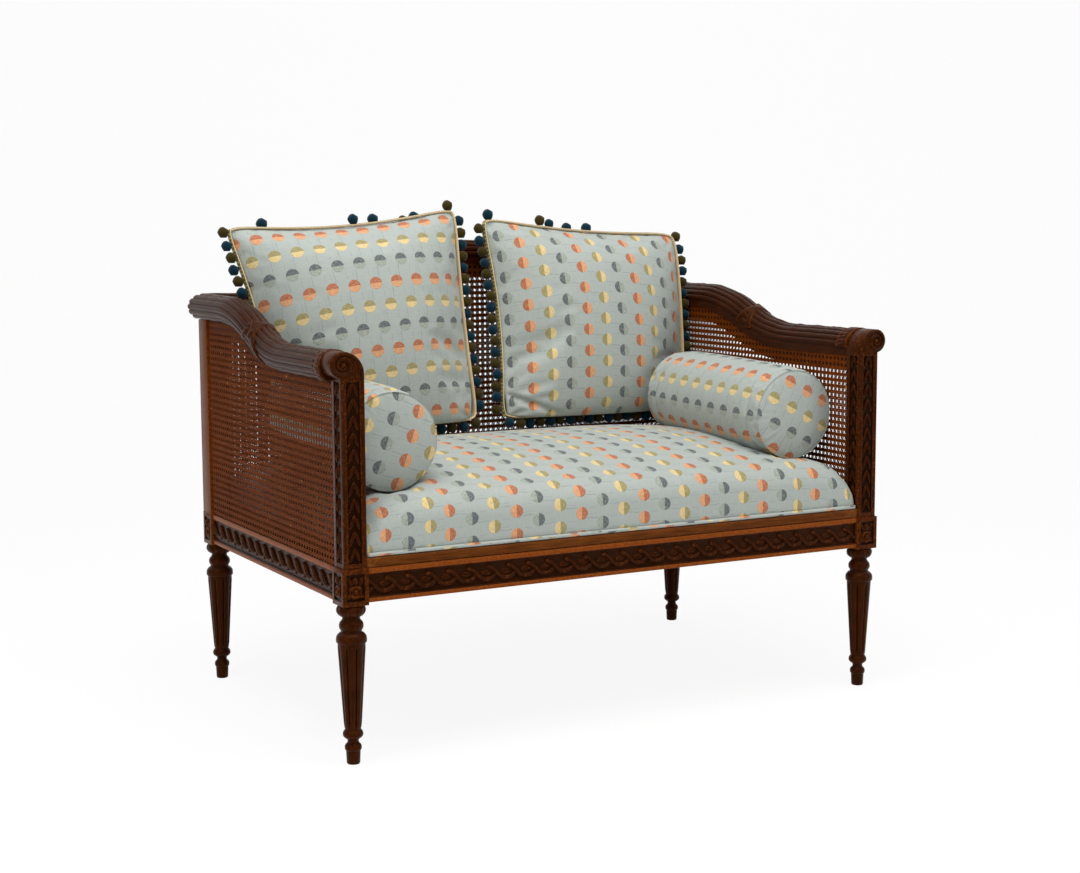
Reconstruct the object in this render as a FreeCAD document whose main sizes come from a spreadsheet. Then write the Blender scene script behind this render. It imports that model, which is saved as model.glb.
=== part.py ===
"""Caned settee with two scatter pillows and two bolsters, in millimetres.

The front faces -Y, +X is the sitter's left, +Z is up, and the origin is on the floor under the middle.
A showwood frame of four turned and fluted legs carries four channelled seat rails, double caned sides and
back, two reeded arm rails that roll outward and a reeded crest rail. The seat is upholstered over a frame
with webbing. The pillows and bolsters lie loose on it.
"""
import FreeCAD
import Part
import Sketcher
import math
import os

doc = FreeCAD.newDocument("caned_settee")
V = FreeCAD.Vector

# Driving dimensions: name, millimetres (or a count or degrees), meaning.
SIZES = [
    ("leg_x", 540, "leg centre from the middle, sideways"),
    ("leg_front", 346, "front leg centre before the middle"),
    ("leg_back", 334, "back leg centre behind the middle"),
    ("block_side", 47, "side of the square block on each leg"),
    ("block_bottom", 277, "underside of the leg block"),
    ("block_top", 340, "top of the leg block and of the seat rails"),
    ("block_panel", 31, "width of the sunk panel in the block faces"),
    ("block_panel_height", 44, "height of the sunk panel in the block faces"),
    ("panel_depth", 2.5, "depth of the sunk panels"),
    ("foot_radius", 11.5, "radius of the plain foot at the floor"),
    ("foot_height", 24, "top of the plain foot"),
    ("foot_ring", 14.6, "radius of the ring above the foot"),
    ("ankle_neck", 9.5, "radius of the narrow neck"),
    ("ankle_ring", 17.6, "radius of the large ankle ring"),
    ("taper_bottom", 63.5, "height where the fluted taper starts"),
    ("taper_top", 211.7, "height where the fluted taper ends"),
    ("taper_small", 14.2, "radius at the taper's bottom"),
    ("taper_large", 23.7, "radius at the taper's top"),
    ("collar_radius", 26.3, "radius of the collar over the taper"),
    ("collar_top", 220, "top of the collar"),
    ("waist_radius", 19, "radius of the waist over the collar"),
    ("waist_height", 243, "height of the waist"),
    ("knob_neck", 255, "height of the neck under the carved knob"),
    ("knob_neck_radius", 15, "radius of the neck under the carved knob"),
    ("knob_end", 20, "radius of the carved knob at its ends"),
    ("knob_radius", 25.5, "radius of the carved knob in its middle"),
    ("flute_count", 8, "flutes round a leg"),
    ("flute_share", 0.16, "depth of a flute as a share of the shaft's radius"),
    ("post_inner", 518, "inner face of the arm posts from the middle"),
    ("post_outer", 560, "outer face of the arm posts from the middle"),
    ("post_depth", 41, "front to back size of the arm posts"),
    ("post_set_back", 2.5, "front face of the arm posts behind the block"),
    ("scroll_x", 556, "centre of the arm scroll from the middle"),
    ("scroll_radius", 22.5, "radius of the arm scroll"),
    ("crook_radius", 38, "radius of the bend into the scroll"),
    ("arm_top", 706, "top of the arm post and of the arm's front"),
    ("post_border", 9, "width of the border round the posts' panels"),
    ("post_panel_top", 655, "top of the posts' sunk panels"),
    ("rear_post", 46, "side of the square rear posts"),
    ("rail_bottom", 281, "underside of the seat rails"),
    ("rail_thick", 44, "thickness of the seat rails"),
    ("rail_set_back", 3, "rails' faces behind the block faces"),
    ("channel_bottom", 290, "lower edge of the carved channel"),
    ("channel_top", 328, "upper edge of the carved channel"),
    ("channel_depth", 5, "depth of the carved channel"),
    ("strip_height", 17, "height of the plain strip on the front rail"),
    ("strip_thick", 22, "thickness of the plain strip"),
    ("roll_inner", 35, "radius of the rail's inner shoulder"),
    ("roll_outer", 27, "radius of the rail's outer roll"),
    ("roll_x", 553, "roll centre from the middle"),
    ("roll_low", 25, "underside of the roll below the centreline"),
    ("roll_high", 26, "top of the roll above the centreline"),
    ("roll_under", 65, "degrees that the outer roll turns under"),
    ("reeds_inner", 4, "reeds on the inner shoulder"),
    ("reeds_outer", 4, "reeds on the outer roll"),
    ("reed_rise", 2.2, "height of a reed over its edges"),
    ("tongue_low", 50, "underside of the rail's tongue below the centreline"),
    ("cane_inner", 520.5, "inner cane's inner face from the middle"),
    ("cane_outer", 558, "outer cane's outer face from the middle"),
    ("cane_thick", 1.2, "thickness of the woven cane"),
    ("arm_low", 679, "arm centreline at the front"),
    ("arm_high", 751, "arm and corner centreline at the back"),
    ("arm_rise_start", -116, "where the arm starts to sweep up"),
    ("arm_rise_end", 209, "where the arm is level again"),
    ("arm_slope", 22, "steepest slope of the arm in degrees"),
    ("back_shift", -2, "back rail and cane behind the leg line"),
    ("crest_high", 851, "crest centreline in the middle"),
    ("crest_start", 430, "where the crest starts to rise"),
    ("crest_level", 30, "half length of the level middle of the crest"),
    ("crest_slope", 24, "steepest slope of the crest in degrees"),
    ("net_pitch", 92, "distance from one gap of a modelled net to the next"),
    ("net_strand", 14, "width left between two gaps of a modelled net"),
    ("seat_bottom", 357.5, "underside of the upholstered seat"),
    ("seat_front", 357, "front face of the seat before the middle"),
    ("seat_back", 308, "back of the seat behind the middle"),
    ("seat_side", 515, "half width of the upholstered seat"),
    ("seat_edge", 456, "height of the seat over its front edge"),
    ("seat_crown", 497, "height of the seat's crown"),
    ("seat_rear", 460, "height of the seat at the back"),
    ("seat_crown_y", -40, "place of the crown behind the middle"),
    ("seat_end", 396, "height of the seat over its front edge at its two ends"),
    ("seat_end_crown", 402, "height of the crown and the back at the two ends"),
    ("seat_round", 48, "radius of the seat's rounded front edge"),
    ("welt_radius", 3.4, "radius of the welt along the seat"),
    ("frame_thick", 24, "thickness of the seat frame's timber"),
    ("frame_width", 58, "width of the seat frame's timber"),
    ("frame_gap", 1.5, "gap between the seat frame and the rails"),
    ("cleat_side", 20, "side of the cleats under the seat frame"),
    ("corner_block", 70, "length of a corner block's short sides"),
    ("web_width", 50, "width of a webbing strap"),
    ("web_thick", 1.6, "thickness of a webbing strap"),
    ("cloth_thick", 0.5, "thickness of the hessian and the dust cover"),
    ("pillow_thick", 136, "thickness of a pillow in its middle"),
    ("pillow_seam", 1.5, "half thickness of a pillow at its seam"),
    ("pillow_lean", 9, "degrees that the pillows lean back"),
    ("pillow_y", 201, "the pillows' lower seam behind the middle"),
    ("pillow_rest", 507.5, "height of the pillows' lower corners"),
    ("pillow_panels", 10, "flat panels across a pillow's face, each way"),
    ("side_draw", 4, "how far the pillows' sides beside each other pull in"),
    ("lower_draw", 4, "how far the pillows' lower sides pull in"),
    ("upper_draw", 13, "how far the pillows' upper sides pull in"),
    ("left_pillow_draw", 24, "how far the left pillow's outer side pulls in"),
    ("left_low_left", -460, "left pillow, lower left corner from the middle"),
    ("left_low_right", -25, "left pillow, lower right corner from the middle"),
    ("left_high_left", -535, "left pillow, upper left corner from the middle"),
    ("left_high_right", -56, "left pillow, upper right corner from the middle"),
    ("left_top_left", 906, "height of the left pillow's upper left corner"),
    ("left_top_right", 935, "height of the left pillow's upper right corner"),
    ("right_pillow_draw", 8, "how far the right pillow's outer side pulls in"),
    ("right_low_left", 26, "right pillow, lower left corner from the middle"),
    ("right_low_right", 474, "right pillow, lower right corner from the middle"),
    ("right_high_left", 24, "right pillow, upper left corner from the middle"),
    ("right_high_right", 484, "right pillow, upper right corner from the middle"),
    ("right_top_left", 918, "height of the right pillow's upper left corner"),
    ("right_top_right", 884, "height of the right pillow's upper right corner"),
    ("tape_width", 6, "width of the braid tape round a pillow"),
    ("tape_thick", 4, "thickness of the braid tape"),
    ("pompom_radius", 10, "radius of a pompom"),
    ("pompom_pitch", 21, "distance from one pompom to the next"),
    ("bolster_radius", 85, "radius of a bolster"),
    ("bolster_end", 79, "radius of a bolster at its end seams"),
    ("bolster_length", 400, "length of a bolster between its end seams"),
    ("bolster_dome", 16, "how far a bolster's end bulges"),
    ("bolster_corners", 24, "flat panels round a bolster"),
    ("bolster_x", 429, "bolster centre from the middle"),
    ("bolster_front", 276, "front seam of a bolster before the middle"),
    ("bolster_tilt", 2.5, "degrees that the front of a bolster hangs lower"),
    ("bolster_z", 545.6, "height of a bolster's centre"),
]


# Sheet of sizes and a value that remembers its formula
class Size:
    """A number together with the formula that gives it from the sheet's cells."""

    def __init__(self, value, text):
        self.value = float(value)
        self.text = text

    def joined(self, other, sign, value):
        right = other.text if isinstance(other, Size) else repr(other)
        return Size(value, "(" + self.text + " " + sign + " " + right + ")")

    def __add__(self, other):
        return self.joined(other, "+", self.value + number(other))

    def __sub__(self, other):
        return self.joined(other, "-", self.value - number(other))

    def __mul__(self, other):
        return self.joined(other, "*", self.value * number(other))

    def __truediv__(self, other):
        return self.joined(other, "/", self.value / number(other))

    def __neg__(self):
        return Size(-self.value, "(0 - " + self.text + ")")


def number(size):
    return size.value if isinstance(size, Size) else float(size)


sheet = doc.addObject("Spreadsheet::Sheet", "Sizes")
for row, (alias, value, meaning) in enumerate(SIZES, start=1):
    sheet.set("A" + str(row), alias)
    sheet.set("B" + str(row), str(value))
    sheet.set("C" + str(row), meaning)
    sheet.setAlias("B" + str(row), alias)
doc.recompute()
S = {alias: Size(sheet.get(alias), "Sizes." + alias) for alias, _, _ in SIZES}
N = {alias: size.value for alias, size in S.items()}


# Small helpers for parametric objects
def bind(thing, **sizes):
    """Set properties of an object from sizes, and keep them bound to the sheet."""
    for name, size in sizes.items():
        thing.setExpression(name, size.text)


def place(thing, x=None, y=None, z=None, turn=None):
    """Put an object at a bound place, turned about the vertical by a fixed angle."""
    if turn is not None:
        thing.Placement = FreeCAD.Placement(V(), FreeCAD.Rotation(V(0, 0, 1), turn))
    for axis, size in (("x", x), ("y", y), ("z", z)):
        if size is not None:
            thing.setExpression("Placement.Base." + axis, size.text)


def box(name, low, high):
    """A block between two corners, each three sizes."""
    block = doc.addObject("Part::Box", name)
    bind(block, Length=high[0] - low[0], Width=high[1] - low[1], Height=high[2] - low[2])
    place(block, *low)
    return block


def sketch(body, name, role, corners, offset=None):
    """A closed outline on one of the body's origin planes.

    Each corner is (across, up), or (across, up, radius, turn) when an arc leads to it: turn is 1 for an arc
    that goes anticlockwise and -1 for one that goes clockwise.
    """
    drawing = body.newObject("Sketcher::SketchObject", name)
    plane = next(feature for feature in body.Origin.OriginFeatures if feature.Role == role)
    drawing.AttachmentSupport = [(plane, "")]
    drawing.MapMode = "FlatFace"
    if offset is not None:
        drawing.setExpression("AttachmentOffset.Base.z", offset.text)
    ends = []
    for index, corner in enumerate(corners):
        first = V(number(corners[index - 1][0]), number(corners[index - 1][1]), 0)
        last = V(number(corner[0]), number(corner[1]), 0)
        if len(corner) == 2:
            drawing.addGeometry(Part.LineSegment(first, last), False)
            ends.append((1, 2))
            continue
        chord = last - first
        middle = (first + last) * 0.5
        side = V(-chord.y, chord.x, 0).normalize() * corner[3]
        depth = math.sqrt(max(number(corner[2]) ** 2 - chord.Length ** 2 / 4, 0))
        centre = middle + side * depth
        crown = centre - side * number(corner[2])
        drawing.addGeometry(Part.Arc(first, crown, last), False)
        ends.append((1, 2) if corner[3] > 0 else (2, 1))
    for index, corner in enumerate(corners):
        after = (index + 1) % len(corners)
        joint = Sketcher.Constraint("Coincident", index, ends[index][1], after, ends[after][0])
        drawing.addConstraint(joint)
        for kind, size in (("DistanceX", corner[0]), ("DistanceY", corner[1])):
            rule = Sketcher.Constraint(kind, -1, 1, index, ends[index][1], number(size))
            number_of_rule = drawing.addConstraint(rule)
            if isinstance(size, Size):
                drawing.setExpression("Constraints[" + str(number_of_rule) + "]", size.text)
        if len(corner) > 2:
            rule = Sketcher.Constraint("Radius", index, number(corner[2]))
            number_of_rule = drawing.addConstraint(rule)
            if isinstance(corner[2], Size):
                drawing.setExpression("Constraints[" + str(number_of_rule) + "]", corner[2].text)
    return drawing


def feature(name, shape):
    """A sub-part whose shape is built directly from the sheet's sizes."""
    thing = doc.addObject("Part::Feature", name)
    thing.Shape = shape
    return thing


def mirrored(name, source):
    """The same piece on the other side of the middle."""
    thing = doc.addObject("Part::Mirroring", name)
    thing.Source = source
    thing.Normal = V(1, 0, 0)
    return thing


def cut(name, base, tools):
    """A piece with several tools taken out of it."""
    gather = doc.addObject("Part::Compound", name + "_tools")
    gather.Links = tools
    thing = doc.addObject("Part::Cut", name)
    thing.Base = base
    thing.Tool = gather
    return thing


def fuse(name, pieces):
    thing = doc.addObject("Part::MultiFuse", name)
    thing.Shapes = pieces
    thing.Refine = True
    return thing


nodes = {}


def keep(name, thing):
    """Hand in a finished sub-part under its node name."""
    thing.Label = name
    nodes[name] = thing
    return thing


ZERO = Size(0, "0")
half_block = S["block_side"] / 2
front_face = ZERO - S["leg_front"] - half_block
rail_front = front_face + S["rail_set_back"]
back_face = S["leg_back"] + half_block
rail_back = back_face - S["rail_set_back"]
rail_side = S["leg_x"] + half_block - S["rail_set_back"]


# Turned and fluted leg with its square block
def ring(height, radius, flute_depth=0):
    """One ring round the leg's axis, with a land and a V-shaped flute in each share of the turn."""
    count = int(N["flute_count"])
    corners = []
    for index in range(count):
        for part, size in ((0, radius), (1 / 3, radius), (2 / 3, radius - flute_depth)):
            angle = 2 * math.pi * (index + part - 1 / 6) / count
            corners.append(V(math.cos(angle) * size, math.sin(angle) * size, height))
    return corners


def flat_face(corners):
    return Part.Face(Part.makePolygon(corners + corners[:1]))


def skinned(rings, ends=None):
    """A closed solid of flat faces from ring to ring, split where four corners aren't in one plane."""
    faces = list(ends or (flat_face(rings[0]), flat_face(rings[-1])))
    for low, high in zip(rings, rings[1:]):
        for index, corner in enumerate(low):
            quad = [low[index - 1], corner, high[index], high[index - 1]]
            normal = (quad[1] - quad[0]).cross(quad[2] - quad[0])
            if abs(normal.dot(quad[3] - quad[0])) < 1e-6 * normal.Length:
                faces.append(flat_face(quad))
            else:
                faces.append(flat_face(quad[:3]))
                faces.append(flat_face([quad[0], quad[2], quad[3]]))
    return Part.Solid(Part.Shell(faces))


def turning():
    """Foot, ring, neck, ankle, fluted shaft, collar, waist, ring and knob, from ring to ring."""
    foot = N["foot_height"]
    low = N["taper_bottom"]
    high = N["taper_top"]
    ankle = N["ankle_ring"]
    waist = N["waist_radius"]
    neck = N["knob_neck"]
    top = N["block_bottom"]
    step = 0.6
    rings = [
        ring(0, N["foot_radius"]),
        ring(foot, N["foot_radius"] + 1),
        ring(foot + 4, N["foot_ring"]),
        ring(foot + 9, N["foot_ring"] - 1.5),
        ring(foot + 16, N["ankle_neck"]),
        ring(low - 17, ankle - 2),
        ring(low - 12, ankle),
        ring(low - 6, ankle - 1.5),
        ring(low - step, N["taper_small"]),
        ring(low, N["taper_small"], N["taper_small"] * N["flute_share"]),
        ring(high, N["taper_large"], N["taper_large"] * N["flute_share"]),
        ring(high + step, N["collar_radius"]),
        ring(N["collar_top"], N["collar_radius"]),
        ring(N["collar_top"] + 9, waist + 2),
        ring(N["waist_height"], waist),
        ring(N["waist_height"] + 5, waist + 2),
        ring(neck, N["knob_neck_radius"]),
        ring(neck + 3, N["knob_end"]),
        ring((neck + 3 + top) / 2 - 3, N["knob_radius"]),
        ring((neck + 3 + top) / 2 + 3, N["knob_radius"]),
        ring(top, N["knob_end"]),
    ]
    return skinned(rings)


def turned_leg(name, x, y):
    """The turning and the square block over it, as a list of pieces to fuse."""
    leg = doc.addObject("Part::Feature", name + "_turning")
    leg.Shape = turning()
    place(leg, x, y)
    block = box(name + "_block", (x - half_block, y - half_block, S["block_bottom"]),
                (x + half_block, y + half_block, S["block_top"]))
    return [leg, block]


def block_panels(name, front_side):
    """Tools for the sunk panels in the two outward faces of a right-hand leg block."""
    half = S["block_panel"] / 2
    centre = (S["block_bottom"] + S["block_top"]) / 2
    low = centre - S["block_panel_height"] / 2
    high = centre + S["block_panel_height"] / 2
    side = S["leg_x"] + half_block
    along = ZERO - S["leg_front"] if front_side else S["leg_back"]
    depth = S["panel_depth"]
    tools = [box(name + "_side_panel", (side - depth, along - half, low), (side + 5, along + half, high))]
    if front_side:
        near, far = front_face - 5, front_face + S["panel_depth"]
    else:
        near, far = back_face - S["panel_depth"], back_face + 5
    tools.append(box(name + "_end_panel", (S["leg_x"] - half, near, low), (S["leg_x"] + half, far, high)))
    return tools


# Front legs run up through the block as the arm posts, which end in a scroll
post_front = front_face + S["post_set_back"]
post_back = post_front + S["post_depth"]
scroll_z = S["arm_top"] - S["scroll_radius"]


def front_leg(name):
    turning = turned_leg(name, S["leg_x"], ZERO - S["leg_front"])
    body = doc.addObject("PartDesign::Body", name + "_post")
    reach = math.sqrt(N["scroll_radius"] ** 2 - (N["post_outer"] - N["scroll_x"]) ** 2)
    under = scroll_z - Size(reach, "sqrt(Sizes.scroll_radius ^ 2 - (Sizes.post_outer - Sizes.scroll_x) ^ 2)")
    crook = S["crook_radius"]
    outline = sketch(body, name + "_outline", "XZ_Plane", [
        (S["post_inner"], S["block_top"]),
        (S["post_outer"], S["block_top"]),
        (S["post_outer"], under),
        (S["scroll_x"] + S["scroll_radius"], scroll_z, S["scroll_radius"], 1),
        (S["scroll_x"], S["arm_top"], S["scroll_radius"], 1),
        (S["post_inner"], S["arm_top"] - crook, crook, 1),
    ], offset=ZERO - post_back)
    pad = body.newObject("PartDesign::Pad", name + "_pad")
    pad.Profile = outline
    bind(pad, Length=S["post_depth"])
    doc.recompute()
    border = S["post_border"]
    low = S["block_top"] + border
    high = S["post_panel_top"]
    inner = S["post_inner"]
    outer = S["post_outer"]
    depth = S["panel_depth"]
    tools = block_panels(name, True)
    front_low = (inner + border, post_front - 5, low)
    front_high = (outer - border, post_front + depth, high)
    tools.append(box(name + "_front_panel", front_low, front_high))
    sides = (post_front + border, post_back - border)
    tools.append(box(name + "_inner_panel", (inner - 5, sides[0], low), (inner + depth, sides[1], high)))
    tools.append(box(name + "_outer_panel", (outer - depth, sides[0], low), (outer + 5, sides[1], high)))
    whole = fuse(name + "_whole", turning + [body])
    return cut(name, whole, tools)


def rear_leg(name):
    turning = turned_leg(name, S["leg_x"], S["leg_back"])
    half = S["rear_post"] / 2
    post = box(name + "_post", (S["leg_x"] - half, S["leg_back"] - half, S["block_top"]),
               (S["leg_x"] + half, S["leg_back"] + half, S["arm_high"] - S["roll_low"]))
    whole = fuse(name + "_whole", turning + [post])
    return cut(name, whole, block_panels(name, False))


keep("front_right_leg", front_leg("front_right"))
keep("front_left_leg", mirrored("front_left", nodes["front_right_leg"]))
keep("rear_right_leg", rear_leg("rear_right"))
keep("rear_left_leg", mirrored("rear_left", nodes["rear_right_leg"]))


# Seat rails with a sunk channel for the carved guilloche, plain at the back
def seat_rail(name, length, turn, x, y, carved):
    body = doc.addObject("PartDesign::Body", name)
    thick = S["rail_thick"]
    depth = S["channel_depth"]
    channel = [
        (depth, S["channel_top"] - 2),
        (depth, S["channel_bottom"] + 2),
        (0, S["channel_bottom"]),
    ]
    low = S["rail_bottom"]
    high = S["block_top"]
    outline = [(0, low), (thick, low), (thick, high), (0, high)]
    if carved:
        outline += [(0, S["channel_top"])] + channel
    section = sketch(body, name + "_section", "YZ_Plane", outline, offset=ZERO - length / 2)
    pad = body.newObject("PartDesign::Pad", name + "_pad")
    pad.Profile = section
    bind(pad, Length=length)
    place(body, x, y, turn=turn)
    return keep(name, body)


across = (S["leg_x"] - half_block) * 2
along = S["leg_front"] + S["leg_back"] - S["block_side"]
middle_y = (S["leg_back"] - S["leg_front"]) / 2
seat_rail("front_rail", across, 0, None, rail_front, True)
seat_rail("rear_rail", across, 180, None, rail_back, False)
seat_rail("left_rail", along, -90, ZERO - rail_side, middle_y, True)
seat_rail("right_rail", along, 90, rail_side, middle_y, True)

strip_front = rail_front + 1.5
strip = box("strip", (ZERO - S["post_inner"], strip_front, S["block_top"]),
            (S["post_inner"], strip_front + S["strip_thick"], S["block_top"] + S["strip_height"]))
keep("front_strip", strip)


# Reeded rails: one section swept level, up a double bend and level again
def bend(start, end, low, high, slope):
    """Radius and straight length of a double bend with equal arcs between two levels."""
    angle = math.radians(slope)
    run = end - start
    rise = high - low
    radius = (run * math.sin(angle) - rise * math.cos(angle)) / (2 * (1 - math.cos(angle)))
    straight = (rise - 2 * radius * (1 - math.cos(angle))) / math.sin(angle)
    return radius, straight


def roll_face():
    """The roll's section, across and up, with reeds standing on two tangent quarter rounds."""
    corners = []
    rounds = [
        (N["roll_inner"], 180, 90, int(N["reeds_inner"])),
        (N["roll_outer"], 90, -N["roll_under"], int(N["reeds_outer"])),
    ]
    for radius, first, last, count in rounds:
        centre = V(N["roll_x"], 0, N["roll_high"] - radius)
        for index in range(count):
            for part, size in ((0, radius - N["reed_rise"]), (0.28, radius), (0.72, radius)):
                angle = math.radians(first + (last - first) * (index + part) / count)
                corners.append(centre + V(math.cos(angle) * size, 0, math.sin(angle) * size))
    under = -N["roll_low"]
    corners.append(V(corners[-1].x, 0, under))
    corners.append(V(corners[0].x, 0, under))
    return Part.Face(Part.makePolygon(corners + corners[:1]))


def tongue_face():
    """The tongue under the roll, between the two layers of cane."""
    low = V(N["cane_inner"] + N["cane_thick"], 0, -N["tongue_low"])
    high = V(N["cane_outer"] - N["cane_thick"], 0, -N["roll_low"])
    corners = [low, V(high.x, 0, low.z), high, V(low.x, 0, high.z), low]
    return Part.Face(Part.makePolygon(corners))


def swept(face, path):
    """Sweep a face along +Y through level runs, straight slopes and arcs, as one solid."""
    pieces = []
    for kind, place_from, slope, size in path:
        start = face.copy()
        start.rotate(V(), V(1, 0, 0), slope)
        start.translate(V(0, place_from[0], place_from[1]))
        if kind == "run":
            way = V(0, math.cos(math.radians(slope)), math.sin(math.radians(slope)))
            pieces.append(start.extrude(way * size))
        else:
            radius, turn = size
            up = V(0, -math.sin(math.radians(slope)), math.cos(math.radians(slope)))
            centre = V(0, place_from[0], place_from[1]) + up * radius
            pieces.append(start.revolve(centre, V(1, 0, 0), turn))
    solid = pieces[0].multiFuse(pieces[1:]) if len(pieces) > 1 else pieces[0]
    return solid.removeSplitter()


def rising_path(start, end, bend_start, bend_end, low, high, slope):
    """Level at low, then the double bend, then level at high."""
    radius, straight = bend(bend_start, bend_end, low, high, slope)
    angle = math.radians(slope)
    step = radius * math.sin(angle)
    lift = radius * (1 - math.cos(angle))
    path = []
    if bend_start > start:
        path.append(("run", (start, low), 0, bend_start - start))
    path.append(("arc", (bend_start, low), 0, (radius, slope)))
    path.append(("run", (bend_start + step, low + lift), slope, straight))
    path.append(("arc", (bend_end - step, high - lift), slope, (-radius, -slope)))
    if end > bend_end:
        path.append(("run", (bend_end, high), 0, end - bend_end))
    return path


def arm_path(end):
    return rising_path(post_back.value, end, N["arm_rise_start"], N["arm_rise_end"],
                       N["arm_low"], N["arm_high"], N["arm_slope"])


def crest_path(end):
    """Half of the crest rail, from the middle outwards."""
    return rising_path(-end, 0, -N["crest_start"], -N["crest_level"],
                       N["arm_high"], N["crest_high"], N["crest_slope"])


roll_y = S["leg_back"] + S["back_shift"] + S["roll_x"] - S["leg_x"]
mitre_room = 60


def arm_rail():
    roll = swept(roll_face(), arm_path(roll_y.value + mitre_room)).cut(corner_wedge(1))
    tongue = swept(tongue_face(), arm_path(N["leg_back"] - N["rear_post"] / 2))
    return roll.fuse(tongue).removeSplitter()


def corner_wedge(side):
    """Everything behind the mitre line of the right rear corner, or all before it for side -1."""
    wedge = Part.makeBox(1400, 1400, 1200, V(-700, 0 if side > 0 else -1400, 0))
    wedge.rotate(V(), V(0, 0, 1), 45)
    wedge.translate(V(N["roll_x"], roll_y.value, 0))
    return wedge


def crest_rail():
    roll = swept(roll_face(), crest_path(N["leg_x"] + mitre_room))
    tongue = swept(tongue_face(), crest_path(N["leg_x"] - N["rear_post"] / 2))
    halves = []
    for part in (roll, tongue):
        part.translate(V(-N["roll_x"], 0, 0))
        part.rotate(V(), V(0, 0, 1), 90)
        part.translate(V(0, roll_y.value, 0))
        other = part.mirror(V(), V(1, 0, 0))
        halves.append(part.fuse(other).removeSplitter())
    wedge = corner_wedge(-1)
    roll = halves[0].cut(wedge).cut(wedge.mirror(V(), V(1, 0, 0)))
    return roll.fuse(halves[1]).removeSplitter()


keep("right_arm_rail", feature("right_arm", arm_rail()))
keep("left_arm_rail", mirrored("left_arm", nodes["right_arm_rail"]))
keep("crest_rail", feature("crest", crest_rail()))


# Double cane: one flat holed net on each side of the tongue, in the two sides and the back
def net_top(path, fall):
    """Upper edge of a net: the rail's centreline lowered by the given fall."""
    edges = []
    for kind, start, slope, size in path:
        angle = math.radians(slope)
        along_way = V(0, math.cos(angle), math.sin(angle))
        up = V(0, -math.sin(angle), math.cos(angle))
        first = V(0, start[0], start[1]) - up * fall
        if kind == "run":
            edges.append(Part.makeLine(first, first + along_way * size))
            continue
        radius, turn = size
        centre = V(0, start[0], start[1]) + up * radius
        points = [first]
        for part in (0.5, 1):
            turned_point = FreeCAD.Rotation(V(1, 0, 0), turn * part).multVec(first - centre)
            points.append(centre + turned_point)
        edges.append(Part.Arc(*points).toShape())
    return edges


def height_on(edges, along_way):
    """Height of the upper edge at one place along it."""
    line = Part.makeLine(V(0, along_way, 0), V(0, along_way, 2000))
    return max(line.distToShape(edge)[1][0][0].z for edge in edges if line.distToShape(edge)[0] < 0.01)


def net(paths, start, end):
    """A holed sheet in the plane x = 0, from the seat rail up to the rail's roll."""
    edges = [edge for path in paths for edge in path]
    low = V(0, start, N["block_top"])
    right = V(0, end, N["block_top"])
    tops = sorted((edge.Vertexes for edge in edges), key=lambda ends: min(point.Y for point in ends))
    first = min((point.Point for ends in tops for point in ends), key=lambda point: point.y)
    last = max((point.Point for ends in tops for point in ends), key=lambda point: point.y)
    frame = [Part.makeLine(low, right), Part.makeLine(right, last), Part.makeLine(first, low)] + edges
    outer = Part.Wire(Part.__sortEdges__(frame))
    pitch = N["net_pitch"]
    strand = N["net_strand"]
    columns = int((end - start - strand) / pitch)
    side = (end - start - strand) / columns
    holes = []
    for column in range(columns):
        left = start + strand + column * side
        right_edge = left + side - strand
        top = min(height_on(edges, left), height_on(edges, right_edge)) - strand
        rows = int((top - N["block_top"] - strand) / pitch)
        tall = (top - N["block_top"]) / rows
        for row in range(rows):
            bottom = N["block_top"] + strand + row * tall
            corners = [V(0, left, bottom), V(0, right_edge, bottom)]
            corners += [V(0, right_edge, bottom + tall - strand), V(0, left, bottom + tall - strand)]
            holes.append(Part.makePolygon(corners + corners[:1]))
    sheet_face = Part.Face([outer] + holes)
    sheet_face.validate()
    return sheet_face.extrude(V(N["cane_thick"], 0, 0))


inner_x = S["cane_inner"]
outer_x = S["cane_outer"] - S["cane_thick"]
side_top = net_top(arm_path(N["leg_back"] - N["rear_post"] / 2), N["roll_low"])
side_net = net([side_top], post_back.value, N["leg_back"] - N["rear_post"] / 2)
for layer, at in (("inner", inner_x), ("outer", outer_x)):
    right = feature("right_" + layer + "_net", side_net)
    place(right, at)
    keep("right_" + layer + "_cane", right)
    keep("left_" + layer + "_cane", mirrored("left_" + layer + "_net", right))

half_top = net_top(crest_path(N["leg_x"] - N["rear_post"] / 2), N["roll_low"])
other_top = [edge.mirror(V(), V(0, 1, 0)) for edge in half_top]
back_net = net([half_top, other_top], N["rear_post"] / 2 - N["leg_x"], N["leg_x"] - N["rear_post"] / 2)
shift = S["leg_back"] + S["back_shift"] - S["leg_x"]
for layer, at in (("inner", inner_x), ("outer", outer_x)):
    back = feature("back_" + layer + "_net", back_net)
    place(back, None, at + shift, turn=90)
    keep("back_" + layer + "_cane", back)


# Seat frame, its cleats and corner blocks, webbing and cloths
gap = S["frame_gap"]
frame_side = rail_side - S["rail_thick"] - gap
frame_front = rail_front + S["rail_thick"] + gap
frame_back = rail_back - S["rail_thick"] - gap
frame_top = S["block_top"] + S["strip_height"]
frame_low = frame_top - S["frame_thick"]
width = S["frame_width"]
left_side = ZERO - frame_side


def timber(name, x_low, x_high, y_low, y_high):
    return keep(name, box(name + "_timber", (x_low, y_low, frame_low), (x_high, y_high, frame_top)))


timber("seat_frame_front", left_side, frame_side, frame_front, frame_front + width)
timber("seat_frame_rear", left_side, frame_side, frame_back - width, frame_back)
timber("seat_frame_left", left_side, left_side + width, frame_front + width, frame_back - width)
timber("seat_frame_right", frame_side - width, frame_side, frame_front + width, frame_back - width)
timber("seat_frame_middle", ZERO - width / 2, width / 2, frame_front + width, frame_back - width)


def group(name, pieces):
    thing = doc.addObject("Part::Compound", name + "_group")
    thing.Links = pieces
    return keep(name, thing)


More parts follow.
